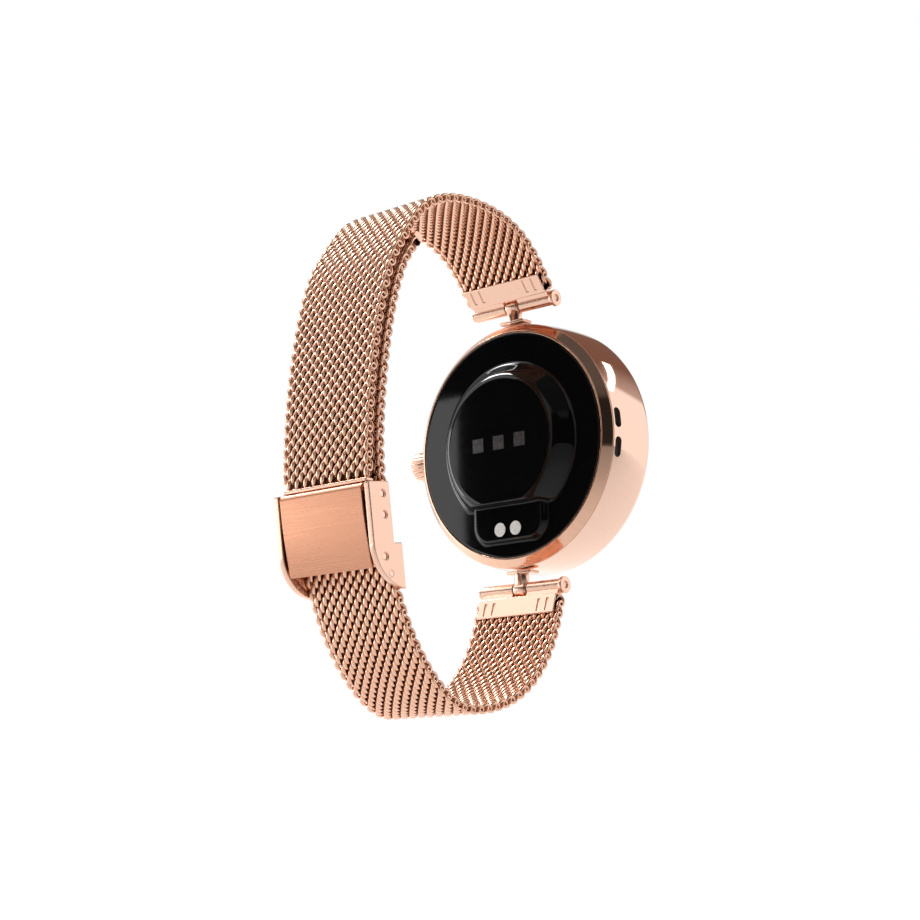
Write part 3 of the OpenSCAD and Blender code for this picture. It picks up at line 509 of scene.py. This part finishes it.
def lathe(profile, segments=224):
    """Closed [r, depth] outline turned about the case axis, as vertices and quads."""
    ang = np.linspace(0, 2 * np.pi, segments, endpoint=False)
    m = len(profile)
    r, d = profile[:, 0], profile[:, 1]
    v = np.stack([r[None] * np.cos(ang)[:, None], np.repeat(-(DOME_H + d)[None], segments, 0),
                  r[None] * np.sin(ang)[:, None]], -1).reshape(-1, 3) * MM
    f = []
    for i in range(segments):
        j = (i + 1) % segments
        for k in range(m):
            q = (k + 1) % m
            f.append((i * m + k, i * m + q, j * m + q, j * m + k))
    return v.tolist(), f


def circle(centre, radius, angles):
    """Points [a, b] on a circle, at angles in radians."""
    return [(centre[0] + radius * math.cos(q), centre[1] + radius * math.sin(q)) for q in angles]


def round_angles(sides):
    return [2 * math.pi * k / sides for k in range(sides)]


def cut_out(ob, tools):
    """Cuts closed solids, given as vertices and faces, out of an object."""
    for v, f in tools:
        mesh = bpy.data.meshes.new("cutter")
        mesh.from_pydata(v, [], f)
        tool = outward(bpy.data.objects.new("cutter", mesh))
        bpy.context.scene.collection.objects.link(tool)
        cut = ob.modifiers.new("cut", "BOOLEAN")
        cut.operation, cut.solver, cut.object = "DIFFERENCE", "EXACT", tool
        applied(ob)
        bpy.data.objects.remove(tool)


def clasp_point(x, out_, up_):
    """World metres of a point in the clasp's own frame."""
    y = CLASP_Y + out_ * math.cos(LEAN) + up_ * math.sin(LEAN)
    z = CLASP_Z - out_ * math.sin(LEAN) + up_ * math.cos(LEAN)
    return x * MM, y * MM, z * MM


def flat_point(x, y, z):
    return x * MM, y * MM, z * MM


def loft(outline, x0, x1, round_0, round_1, steps=4, place=clasp_point):
    """An outline drawn out along X, its two rims rounded, as vertices and faces."""
    outline = np.asarray(outline, float)
    ahead, behind = np.roll(outline, -1, 0) - outline, outline - np.roll(outline, 1, 0)
    ahead /= np.linalg.norm(ahead, axis=1)[:, None]
    behind /= np.linalg.norm(behind, axis=1)[:, None]
    tan = ahead + behind
    tan /= np.linalg.norm(tan, axis=1)[:, None]
    after = np.roll(outline, -1, 0)
    area = 0.5 * np.sum(outline[:, 0] * after[:, 1] - after[:, 0] * outline[:, 1])
    inward = np.stack([-tan[:, 1], tan[:, 0]], 1) * math.copysign(1, area)
    stations = [(x0 + round_0 * (1 - math.sin(q)), round_0 * (1 - math.cos(q)))
                for q in np.linspace(math.pi / 2, 0, steps + 1)]
    stations += [(x1 - round_1 * (1 - math.sin(q)), round_1 * (1 - math.cos(q)))
                 for q in np.linspace(0, math.pi / 2, steps + 1)]
    m, v, f = len(outline), [], []
    for x, shrink in stations:
        v += [place(x, *p) for p in outline + inward * shrink]
    for k in range(len(stations) - 1):
        f += [(k * m + i, k * m + (i + 1) % m, (k + 1) * m + (i + 1) % m, (k + 1) * m + i) for i in range(m)]
    last = (len(stations) - 1) * m
    f += [tuple(range(m))[::-1], tuple(range(last, last + m))]
    return v, f


def stub(x0, x1, at, r, sides=32, place=clasp_point, rim=0.03):
    """A short round bar along X."""
    return loft(circle(at, r, round_angles(sides)), min(x0, x1), max(x0, x1), rim, rim, 3, place)


def joined(*solids):
    v, f = [], []
    for sv, sf in solids:
        f += [tuple(i + len(v) for i in face) for face in sf]
        v += sv
    return v, f


def solid(name, parts, slot, body, replaced, cuts=(), angle=40):
    """A piece made of lofted parts, with cuts taken out of it, that replaces a CAD node."""
    ob = outward(new_piece(name, *joined(*parts), slot, body))
    cut_out(ob, cuts)
    weigh(ob, angle)
    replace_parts(ob, replaced)
    return ob


def boxed(a0, a1, b0, b1, r=0.08, n=4):
    """A rounded rectangle as an outline."""
    return fillet([(a0, b0), (a1, b0), (a1, b1), (a0, b1)], [r] * 4, n)


# ---------------------------------------------------------------- clasp
curve_at = np.array([CLASP_H + HINGE_PROUD - COVER_CURVE_R, COVER_MID])
INNER_R, OUTER_R = COVER_CURVE_R - COVER_T, COVER_CURVE_R - SKIN
top_a = math.asin((HINGE[1] - curve_at[1]) / COVER_CURVE_R)
end_a = math.asin((-COVER_LEN - curve_at[1]) / COVER_CURVE_R)
arc = np.linspace(top_a, end_a, 28)
end_dir = np.array([math.cos(end_a), math.sin(end_a)])
section = circle(HINGE, HINGE_R - SKIN, np.linspace(0.02, math.radians(248), 30))
section += circle(curve_at, INNER_R, arc[1:-1])
for radius, shift in ((INNER_R + 0.02, [0.05, 0.04]), (OUTER_R, [-0.10, 0.01]), (OUTER_R, [0.0, 0.12])):
    section.append(tuple(curve_at + radius * end_dir + shift))
section += circle(curve_at, OUTER_R, arc[::-1][1:-1])
trunnions = [stub(side * (COVER_HALF - 0.3), side * (HALF_OUT - 0.2), HINGE, TRUNNION_R - SKIN)
             for side in (-1, 1)]
leaf = loft(section, -COVER_HALF, COVER_HALF, 0.10, 0.10)
cover = solid("clasp_cover_formed", [leaf, *trunnions], "rose_gold_brushed", "clasp_flip", "clasp_cover")
cover.data.materials[0] = mats["cover"]

PIN_SPOTS, RIVET = ((1.4, -1.65), (1.4, -4.45), (1.9, -9.95)), (1.1, -12.25)
RECESS, RECESS_RIM, HINGE_HOLE, HINGE_SKIN = 0.11, 0.13, 0.44, 0.15
PAST = 0.3
last_q = math.acos((CORNER_R - CLASP_H - TAB_DROP + 0.12) / CORNER_R)
corner = [(CLASP_H - CORNER_R + CORNER_R * math.cos(q), CORNER_R - CLASP_LEN - CORNER_R * math.sin(q))
          for q in np.linspace(0, last_q, 20)]
wall = [(CLASP_H - 0.25, 0.0), (CLASP_H - 0.07, -0.07), (CLASP_H, -0.25)] + corner
wall += [(0.02 - TAB_DROP, 0.14 - CLASP_LEN), (-TAB_DROP, 0.22 - CLASP_LEN), (-TAB_DROP, TAB_TOP - 0.10),
         (0.10 - TAB_DROP, TAB_TOP), (-0.06, TAB_TOP), (0.0, TAB_TOP + 0.06), (0.0, -0.12), (0.12, 0.0)]
for side, tag in ((-1, "slot_side"), (1, "crown_side")):
    x0, x1 = sorted((side * HALF_IN, side * HALF_OUT))
    inside, outside = side * (HALF_IN - PAST), side * (HALF_OUT + PAST)
    holes = []
    for at in PIN_SPOTS:
        holes.append(stub(inside, outside, at, PIN_R + SKIN))
        holes.append(stub(side * (HALF_OUT - RECESS), outside, at, PIN_R + RECESS_RIM))
    holes.append(stub(inside, outside, RIVET, PIN_R + SKIN))
    holes.append(stub(inside, side * (HALF_OUT - HINGE_SKIN), HINGE, HINGE_HOLE))
    plate = loft(wall, x0, x1, 0.14, 0.14)
    solid(f"clasp_wall_{tag}", [plate], "rose_gold_satin", "clasp", "clasp_body", holes)
floor_bar = [(-1.80, -10.2), (-1.45, -10.2), (-1.45, TAB_TOP), (-1.80, TAB_TOP)]
floor_strip = loft(floor_bar, -HALF_IN - 0.2, HALF_IN + 0.2, 0.02, 0.02, 2)
solid("clasp_floor", [floor_strip], "rose_gold_satin", "clasp", "clasp_body", angle=30)


# ---------------------------------------------------------------- clamps, lugs, hook and end cap
NECK, TUBE_HALF = 1.35, BAR_HALF - CAP_T
JAW_OUT, JAW_IN, JAW_END = MESH_T / 2 + CLAMP_T - SKIN, MESH_T / 2 + 0.01, CLAMP_LEN - SKIN
JAW_BACK, JAW_FROM = MESH_START - 0.06, CLAMP_FROM + 0.01
GROOVES, GROOVE_HALF, GROOVE_FROM, GROOVE_TO, GROOVE_DEEP = (-5.9, -4.3, 4.3, 5.9), 0.29, 2.2, 4.25, 0.82
for side, angle, tag in ((1, LEAVE_12, "12"), (-1, -LEAVE_6, "6")):
    ca, sa = heading(angle)

    def at_bar(x, a, b, side=side, ca=ca, sa=sa):
        b *= side
        return x * MM, (BAR_Y + a * ca - b * sa) * MM, (side * BAR_Z + a * sa + b * ca) * MM

    jaws = fillet([(JAW_FROM, -JAW_OUT), (JAW_END, -JAW_OUT), (JAW_END, -JAW_IN), (JAW_BACK, -JAW_IN),
                   (JAW_BACK, JAW_IN), (JAW_END, JAW_IN), (JAW_END, JAW_OUT), (JAW_FROM, JAW_OUT)],
                  [0.16, 0.12, 0.05, 0.03, 0.03, 0.05, 0.12, 0.16], 5)
    web = boxed(0.3, 1.60, 0.01 - CLAMP_WEB, CLAMP_WEB - 0.01, 0.03)
    parts = []
    for end in (-1, 1):
        x0, x1 = sorted((end * NECK, end * (CLAMP_HALF - 0.05)))
        parts.append(loft(web, x0, x1, 0.03, 0.03, 2, at_bar))
        parts.append(stub(end * NECK, end * TUBE_HALF, (0, 0), TUBE_R - SKIN, 48, at_bar, 0.10))
    cuts = []
    for x in GROOVES:
        for face in (-1, 1):
            near, far = face * GROOVE_DEEP, face * 1.5
            mark = fillet([(GROOVE_FROM, near), (GROOVE_TO, near), (GROOVE_TO, far), (GROOVE_FROM, far)],
                          [0.12, 0.12, 0, 0], 5)
            cuts.append(loft(mark, x - GROOVE_HALF, x + GROOVE_HALF, 0.10, 0.10, 4, at_bar))
    body, clamp = f"strap_{tag}", f"strap_{tag}_clamp"
    plate = loft(jaws, -CLAMP_HALF, CLAMP_HALF, 0.10, 0.10, place=at_bar)
    solid(f"clamp_{tag}_jaws", [plate], "rose_gold_satin", body, clamp, cuts)
    solid(f"clamp_{tag}_tube", parts, "rose_gold_satin", body, clamp)

    def upright(z, x, y, side=side):
        return x * MM, y * MM, side * z * MM

    around = np.linspace(0, 2 * math.pi, 56, endpoint=False)
    loop = [(y, side * z) for y, z in circle((BAR_Y, BAR_Z), LUG_R - SKIN, around)]
    stem = [(1.19 * math.cos(q), BAR_Y + 0.22 + 0.97 * math.sin(q)) for q in round_angles(40)]
    foot = [(y, side * z) for y, z in boxed(BAR_Y - 1.19, BAR_Y + 1.19, CASE_R - 0.04, CASE_R + 0.44, 0.18)]
    hole = stub(-1.5, 1.5, (BAR_Y, side * BAR_Z), PIN_R + 0.04, 40, flat_point)
    loop_part = loft(loop, SKIN - LUG_HALF, LUG_HALF - SKIN, 0.42, 0.42, 6, flat_point)
    stem_part = loft(stem, CASE_R - 0.08, BAR_Z - 0.62, 0.02, 0.02, 2, upright)
    foot_part = loft(foot, -2.29, 2.29, 0.18, 0.18, 4, flat_point)
    for what, part, bores in (("loop", loop_part, [hole]), ("stem", stem_part, [hole]),
                              ("foot", foot_part, [])):
        solid(f"lug_{tag}_{what}", [part], "rose_gold_satin", "case", f"lug_{tag}", bores, 60)

lip_z, tongue_y = CLASP_Z + LIP_LOW, CLASP_Y + TONGUE_OUT
lip_half, tongue_half = MESH_W / 2 - 0.06, TONGUE_HALF - 0.01
lip_edge = boxed(BACK_Y - 0.69, BACK_Y + 0.74, lip_z, lip_z + LIP_H, 0.20)
arm_edge = boxed(tongue_y + 0.02, BACK_Y - 0.3, lip_z + 0.01, lip_z + 0.265, 0.05)
tongue_edge = boxed(tongue_y + SKIN, tongue_y + TONGUE_T - SKIN,
                    CLASP_Z - TONGUE_H + SKIN, CLASP_Z - SKIN, 0.10)
hook = [loft(lip_edge, -lip_half, lip_half, 0.18, 0.18, 4, flat_point),
        loft(arm_edge, -tongue_half, tongue_half, 0.05, 0.05, 3, flat_point),
        loft(tongue_edge, -tongue_half, tongue_half, 0.08, 0.08, 3, flat_point)]
solid("hook_12", hook, "rose_gold_satin", "strap_12", "strap_12_hook")


def at_tip(x, a, b):
    return (x * MM, (TIP_AT[0] + a * TIP_DIR[0] - b * TIP_DIR[1]) * MM,
            (TIP_AT[1] + a * TIP_DIR[1] + b * TIP_DIR[0]) * MM)


TIP_OUT, TIP_LEN = 0.815, 1 - SKIN
sleeve = fillet([(-TIP_GRIP, -TIP_OUT), (TIP_LEN, -TIP_OUT), (TIP_LEN, TIP_OUT), (-TIP_GRIP, TIP_OUT),
                 (-TIP_GRIP, JAW_IN), (0.0, JAW_IN), (0.0, -JAW_IN), (-TIP_GRIP, -JAW_IN)],
                [0.02, 0.45, 0.45, 0.02, 0, 0, 0, 0], 7)
cap = loft(sleeve, 0.01 - MESH_W / 2, MESH_W / 2 - 0.01, 0.04, 0.04, 3, at_tip)
solid("end_cap_6", [cap], "rose_gold_satin", "strap_6", "strap_6_end_cap")


# ---------------------------------------------------------------- turned case pieces
def barrel(depth):
    return CASE_R - BARREL_R + math.sqrt(BARREL_R ** 2 - (depth - BARREL_DEPTH) ** 2)


def turned(name, profile, slot, replaced, cuts=(), angle=50):
    """A turned case piece, smooth but for edges sharper than angle."""
    ob = outward(new_piece(name, *lathe(profile), slot, "case"))
    cut_out(ob, cuts)
    ob.data.set_sharp_from_angle(angle=math.radians(angle))
    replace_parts(ob, replaced)
    return ob


def cutter(outline, x0, x1):
    """A straight cutter along X through a [y, z] outline."""
    m = len(outline)
    v = [(x * MM, y * MM, z * MM) for x in (x0, x1) for y, z in outline]
    f = [(i, (i + 1) % m, m + (i + 1) % m, m + i) for i in range(m)]
    return v, f + [tuple(range(m))[::-1], tuple(range(m, 2 * m))]


def slot_outline(y, z, n=24):
    """A slot with round ends, long along Z."""
    half = (SLOT_LEN - SLOT_W) / 2
    return [(y + SLOT_W / 2 * math.cos(a), z + math.copysign(half, math.sin(a)) + SLOT_W / 2 * math.sin(a))
            for a in round_angles(2 * n)]


CUT_IN, CUT_OUT = 15.5, 21
cuts = [cutter(slot_outline(-(DOME_H + SLOT_DEPTH), SLOT_MID_Z + up), -CUT_OUT, -CUT_IN)
        for up in (SLOT_PITCH / 2, -SLOT_PITCH / 2)]
crown_hole = circle((-(DOME_H + CROWN_DEPTH), 0), CROWN_TUBE_R, round_angles(40))
cuts.append(cutter(crown_hole, CUT_IN, CUT_OUT))
GAP = 0.02  # between the shell's ends and its neighbours
outer = [(barrel(d) - SKIN, d) for d in np.linspace(RIM_BEVEL + GAP, SHELL_END - GAP, 24)]
shell_profile = fillet(outer + [(BORE_R + GAP, SHELL_END - GAP), (BORE_R + GAP, RIM_BEVEL + GAP)],
                       [0.07] + [0] * 22 + [0.07, 0, 0])
turned("case_shell_turned", shell_profile, "rose_gold_polished", "case_shell", cuts, 40)

CLEAR, SKIRT_END, LEDGE_END, LEDGE_R = 0.06, 1.68, 1.32, 16.45
edge = barrel(RIM_BEVEL) - CLEAR
ring_profile = fillet(
    [(COVER_R + CLEAR, 0.0), (COVER_R + 0.32, 0.0), (edge, RIM_BEVEL - 0.12), (edge, RIM_BEVEL),
     (BORE_R - CLEAR, RIM_BEVEL), (BORE_R - CLEAR, SKIRT_END), (LEDGE_R, SKIRT_END), (LEDGE_R, LEDGE_END),
     (COVER_R + CLEAR, LEDGE_END)],
    [0.06, 0.14, 0.30, 0.05, 0, 0, 0, 0, 0], 8)
ring = turned("back_ring_turned", ring_profile, "rose_gold_brushed", "back_ring")
ring.data.materials[0] = mats["ring"]

edge = barrel(SHELL_END) - 0.055
glass_r, skirt_from = BORE_R - BEZEL_W + CLEAR, SHELL_END - 0.48
bezel_profile = fillet(
    [(glass_r, skirt_from), (BORE_R - CLEAR, skirt_from), (BORE_R - CLEAR, SHELL_END), (edge, SHELL_END),
     (edge - 0.12, SHELL_END + 0.45), (edge - 0.5, CASE_T - 0.18), (edge - 1.1, CASE_T), (glass_r, CASE_T)],
    [0, 0, 0, 0.08, 0.5, 0.5, 0.3, 0.12], 8)
turned("bezel_turned", bezel_profile, "rose_gold_polished", "bezel")


# ---------------------------------------------------------------- moulded back with its dome and charging tab
def smooth(x):
    x = np.clip(x, 0, 1)
    return x * x * x * (x * (6 * x - 15) + 10)


def soft_min(a, b, k):
    h = np.clip(0.5 + 0.5 * (b - a) / k, 0, 1)
    return b * (1 - h) + a * h - k * h * (1 - h)


# Where the dome's flat side starts, and the charging tab's height and root
CHORD_FROM, TAB_H, TAB_ROOT = -9.75, 0.935, 5.0


def cover_height(x, z):
    """How far the back stands out at a place: the dome, cut off by a chord, or the charging tab."""
    r = np.hypot(x, z)
    rise = soft_min((DOME_R + DOME_FLANK - r) / DOME_FLANK, np.ones_like(r), 0.42)
    rise = -soft_min(-rise, np.zeros_like(r), 0.20)
    dome = rise * (DOME_H - 0.012) * smooth((z - CHORD_FROM) / 0.85)
    tab_mid, half_z = (TAB_ROOT + TAB_REACH) / 2, (TAB_REACH - TAB_ROOT) / 2
    qx, qz = np.abs(x) - (TAB_HALF - TAB_CORNER), np.abs(z + tab_mid) - (half_z - TAB_CORNER)
    away = np.hypot(np.maximum(qx, 0), np.maximum(qz, 0)) + np.minimum(np.maximum(qx, qz), 0) - TAB_CORNER
    return np.maximum(dome, TAB_H * smooth((0.05 - away) / 0.75))


AROUND, COVER_DEEP = 360, 0.88
rad = np.unique(np.concatenate([np.linspace(0.4, 8.6, 30), np.linspace(8.6, 13.2, 62),
                                np.linspace(13.2, 15.6, 26), np.linspace(15.6, COVER_R - 0.16, 8)]))
ang = np.linspace(0, 2 * np.pi, AROUND, endpoint=False)[:, None]
H = cover_height(rad * np.cos(ang), rad * np.sin(ang))
rad = np.concatenate([rad, [COVER_R - 0.09, COVER_R - 0.03, COVER_R, COVER_R, COVER_R]])
H = np.concatenate([H, np.tile([-0.015, -0.06, -0.15, -0.5, -COVER_DEEP], (AROUND, 1))], 1)
m = len(rad)
v = (np.stack([rad * np.cos(ang), H - DOME_H, rad * np.sin(ang)], -1).reshape(-1, 3) * MM).tolist()
middle = float(cover_height(np.zeros(1), np.zeros(1))[0]) - DOME_H
v += [(0, middle * MM, 0), (0, (-DOME_H - COVER_DEEP) * MM, 0)]
f = []
for i in range(AROUND):
    j = (i + 1) % AROUND
    f += [(i * m + k, i * m + k + 1, j * m + k + 1, j * m + k) for k in range(m - 1)]
    f += [(AROUND * m, i * m, j * m), (AROUND * m + 1, j * m + m - 1, i * m + m - 1)]
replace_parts(outward(new_piece("back_cover_moulded", v, f, "black_gloss", "case")), "back_cover")

# ---------------------------------------------------------------- studio
floor_mat, t, p = surface("floor")
t.link(t.ramp(t.noise(30.0), grey(0.40), grey(0.42)), p.inputs["Base Color"])
p.inputs["Roughness"].default_value = 0.9
p.inputs["Specular IOR Level"].default_value = 0.1
p.inputs["Emission Color"].default_value = (1, 1, 1, 1)
away = t.vec("DOT_PRODUCT", t.add("ShaderNodeTexCoord").outputs["Object"], (0.655, -0.755, 0.0))
glow = t.add("ShaderNodeMapRange", interpolation_type="SMOOTHSTEP")
for socket, value in (("From Min", -0.4), ("From Max", 0.40), ("To Min", 0.14), ("To Max", 0.90)):
    glow.inputs[socket].default_value = value
t.link(away, glow.inputs["Value"])
t.link(glow.outputs[0], p.inputs["Emission Strength"])
bm = bmesh.new()
bmesh.ops.create_circle(bm, cap_ends=True, radius=6.0, segments=128)
mesh = bpy.data.meshes.new("floor")
bm.to_mesh(mesh)
bm.free()
mesh.materials.append(floor_mat)
floor = bpy.data.objects.new("floor", mesh)
floor.location = (0, 0, -0.12)
bpy.context.scene.collection.objects.link(floor)

world = bpy.data.worlds.new("studio")
bpy.context.scene.world = world
world.use_nodes = True
t = Tree(world.node_tree)
ray = t.vec("NORMALIZE", t.add("ShaderNodeTexCoord").outputs["Generated"])


def lobe(direction, inner, outer):
    """1 within inner degrees of a direction, falling to 0 at outer degrees."""
    d = Vector(direction).normalized()
    near = t.vec("DOT_PRODUCT", ray, tuple(d))
    node = t.add("ShaderNodeMapRange", interpolation_type="SMOOTHSTEP")
    node.inputs["From Min"].default_value = math.cos(math.radians(outer))
    node.inputs["From Max"].default_value = math.cos(math.radians(inner))
    t.link(near, node.inputs["Value"])
    return node.outputs[0]


def backdrop(colour, strength):
    node = t.add("ShaderNodeBackground")
    node.inputs["Color"].default_value = (*colour, 1)
    t.feed(node.inputs["Strength"], strength)
    return node.outputs[0]


def both(kind, a, b):
    """Two backgrounds put together by a shader node whose last two inputs are shaders."""
    node = t.add(kind)
    t.link(a, node.inputs[-2])
    t.link(b, node.inputs[-1])
    return node


# [direction, inner, outer, how much of the light it takes away]
top_dark = ((0.06, -0.70, 0.71), 27, 31, 0.93)
dark = [((0.55, 0.80, 0.05), 16, 40, 0.97), top_dark, ((-0.74, 0.66, -0.06), 34, 46, 0.97),
        ((-0.35, 0.22, 0.91), 26, 38, 0.85)]
# [direction, inner, outer, how much light it adds]
bright = [((-0.645, -0.743, 0.05), 24, 50, 0.38), ((-0.16, -0.743, -0.63), 20, 45, 0.32)]
light = 0.72
for direction, inner, outer, taken in dark:
    left = t.math("SUBTRACT", 1.0, t.math("MULTIPLY", lobe(direction, inner, outer), taken))
    light = t.math("MULTIPLY", light, left)
for direction, inner, outer, added in bright:
    light = t.math("ADD", light, t.math("MULTIPLY", lobe(direction, inner, outer), added))
warmth = t.math("MULTIPLY", lobe(*top_dark[:3]), 0.16)
lit = both("ShaderNodeAddShader", backdrop((1, 1, 1), light), backdrop((1.0, 0.42, 0.24), warmth))
studio = both("ShaderNodeMixShader", lit.outputs[0], backdrop((1, 1, 1), 1.0))
t.link(t.add("ShaderNodeLightPath").outputs["Is Camera Ray"], studio.inputs[0])
t.link(studio.outputs[0], t.add("ShaderNodeOutputWorld").inputs[0])


def softbox(name, at, aim, size, power, along=(0, 0, 0)):
    """A rectangular light, size[0] long as near to the direction along as the aim allows, else level."""
    light = bpy.data.lights.new(name, "AREA")
    light.shape = "RECTANGLE"
    light.size, light.size_y = size
    light.energy = power
    ob = bpy.data.objects.new(name, light)
    ob.location = at
    ob.rotation_mode = "QUATERNION"
    back = (Vector(at) - Vector(aim)).normalized()
    side = Vector(along) if any(along) else Vector((0, 0, 1)).cross(back)
    side = (side - back * side.dot(back)).normalized()
    ob.rotation_quaternion = Matrix((side, back.cross(side), back)).transposed().to_quaternion()
    bpy.context.scene.collection.objects.link(ob)


softbox("top_box", (0.36, 0.075, 0.505), (0, 0.01, 0), (0.34, 0.095), 2.3, (-0.62, 0.57, 0.35))
softbox("left_box", (0.70, 0.16, 0.05), (0.0, 0.01, -0.01), (0.28, 0.34), 1.1)
softbox("streak_box", (-0.20, -0.42, 0.385), (0, 0, 0.01), (0.26, 0.028), 0.09, (-0.98, 0.03, -0.16))
softbox("back_box", (0.43, 0.34, 0.40), (0, 0.0, -0.01), (0.34, 0.26), 0.30)
softbox("panel_box", (0.715, 0.60, -0.008), (0.715, 0.0, -0.008), (0.37, 0.385), 1.0)
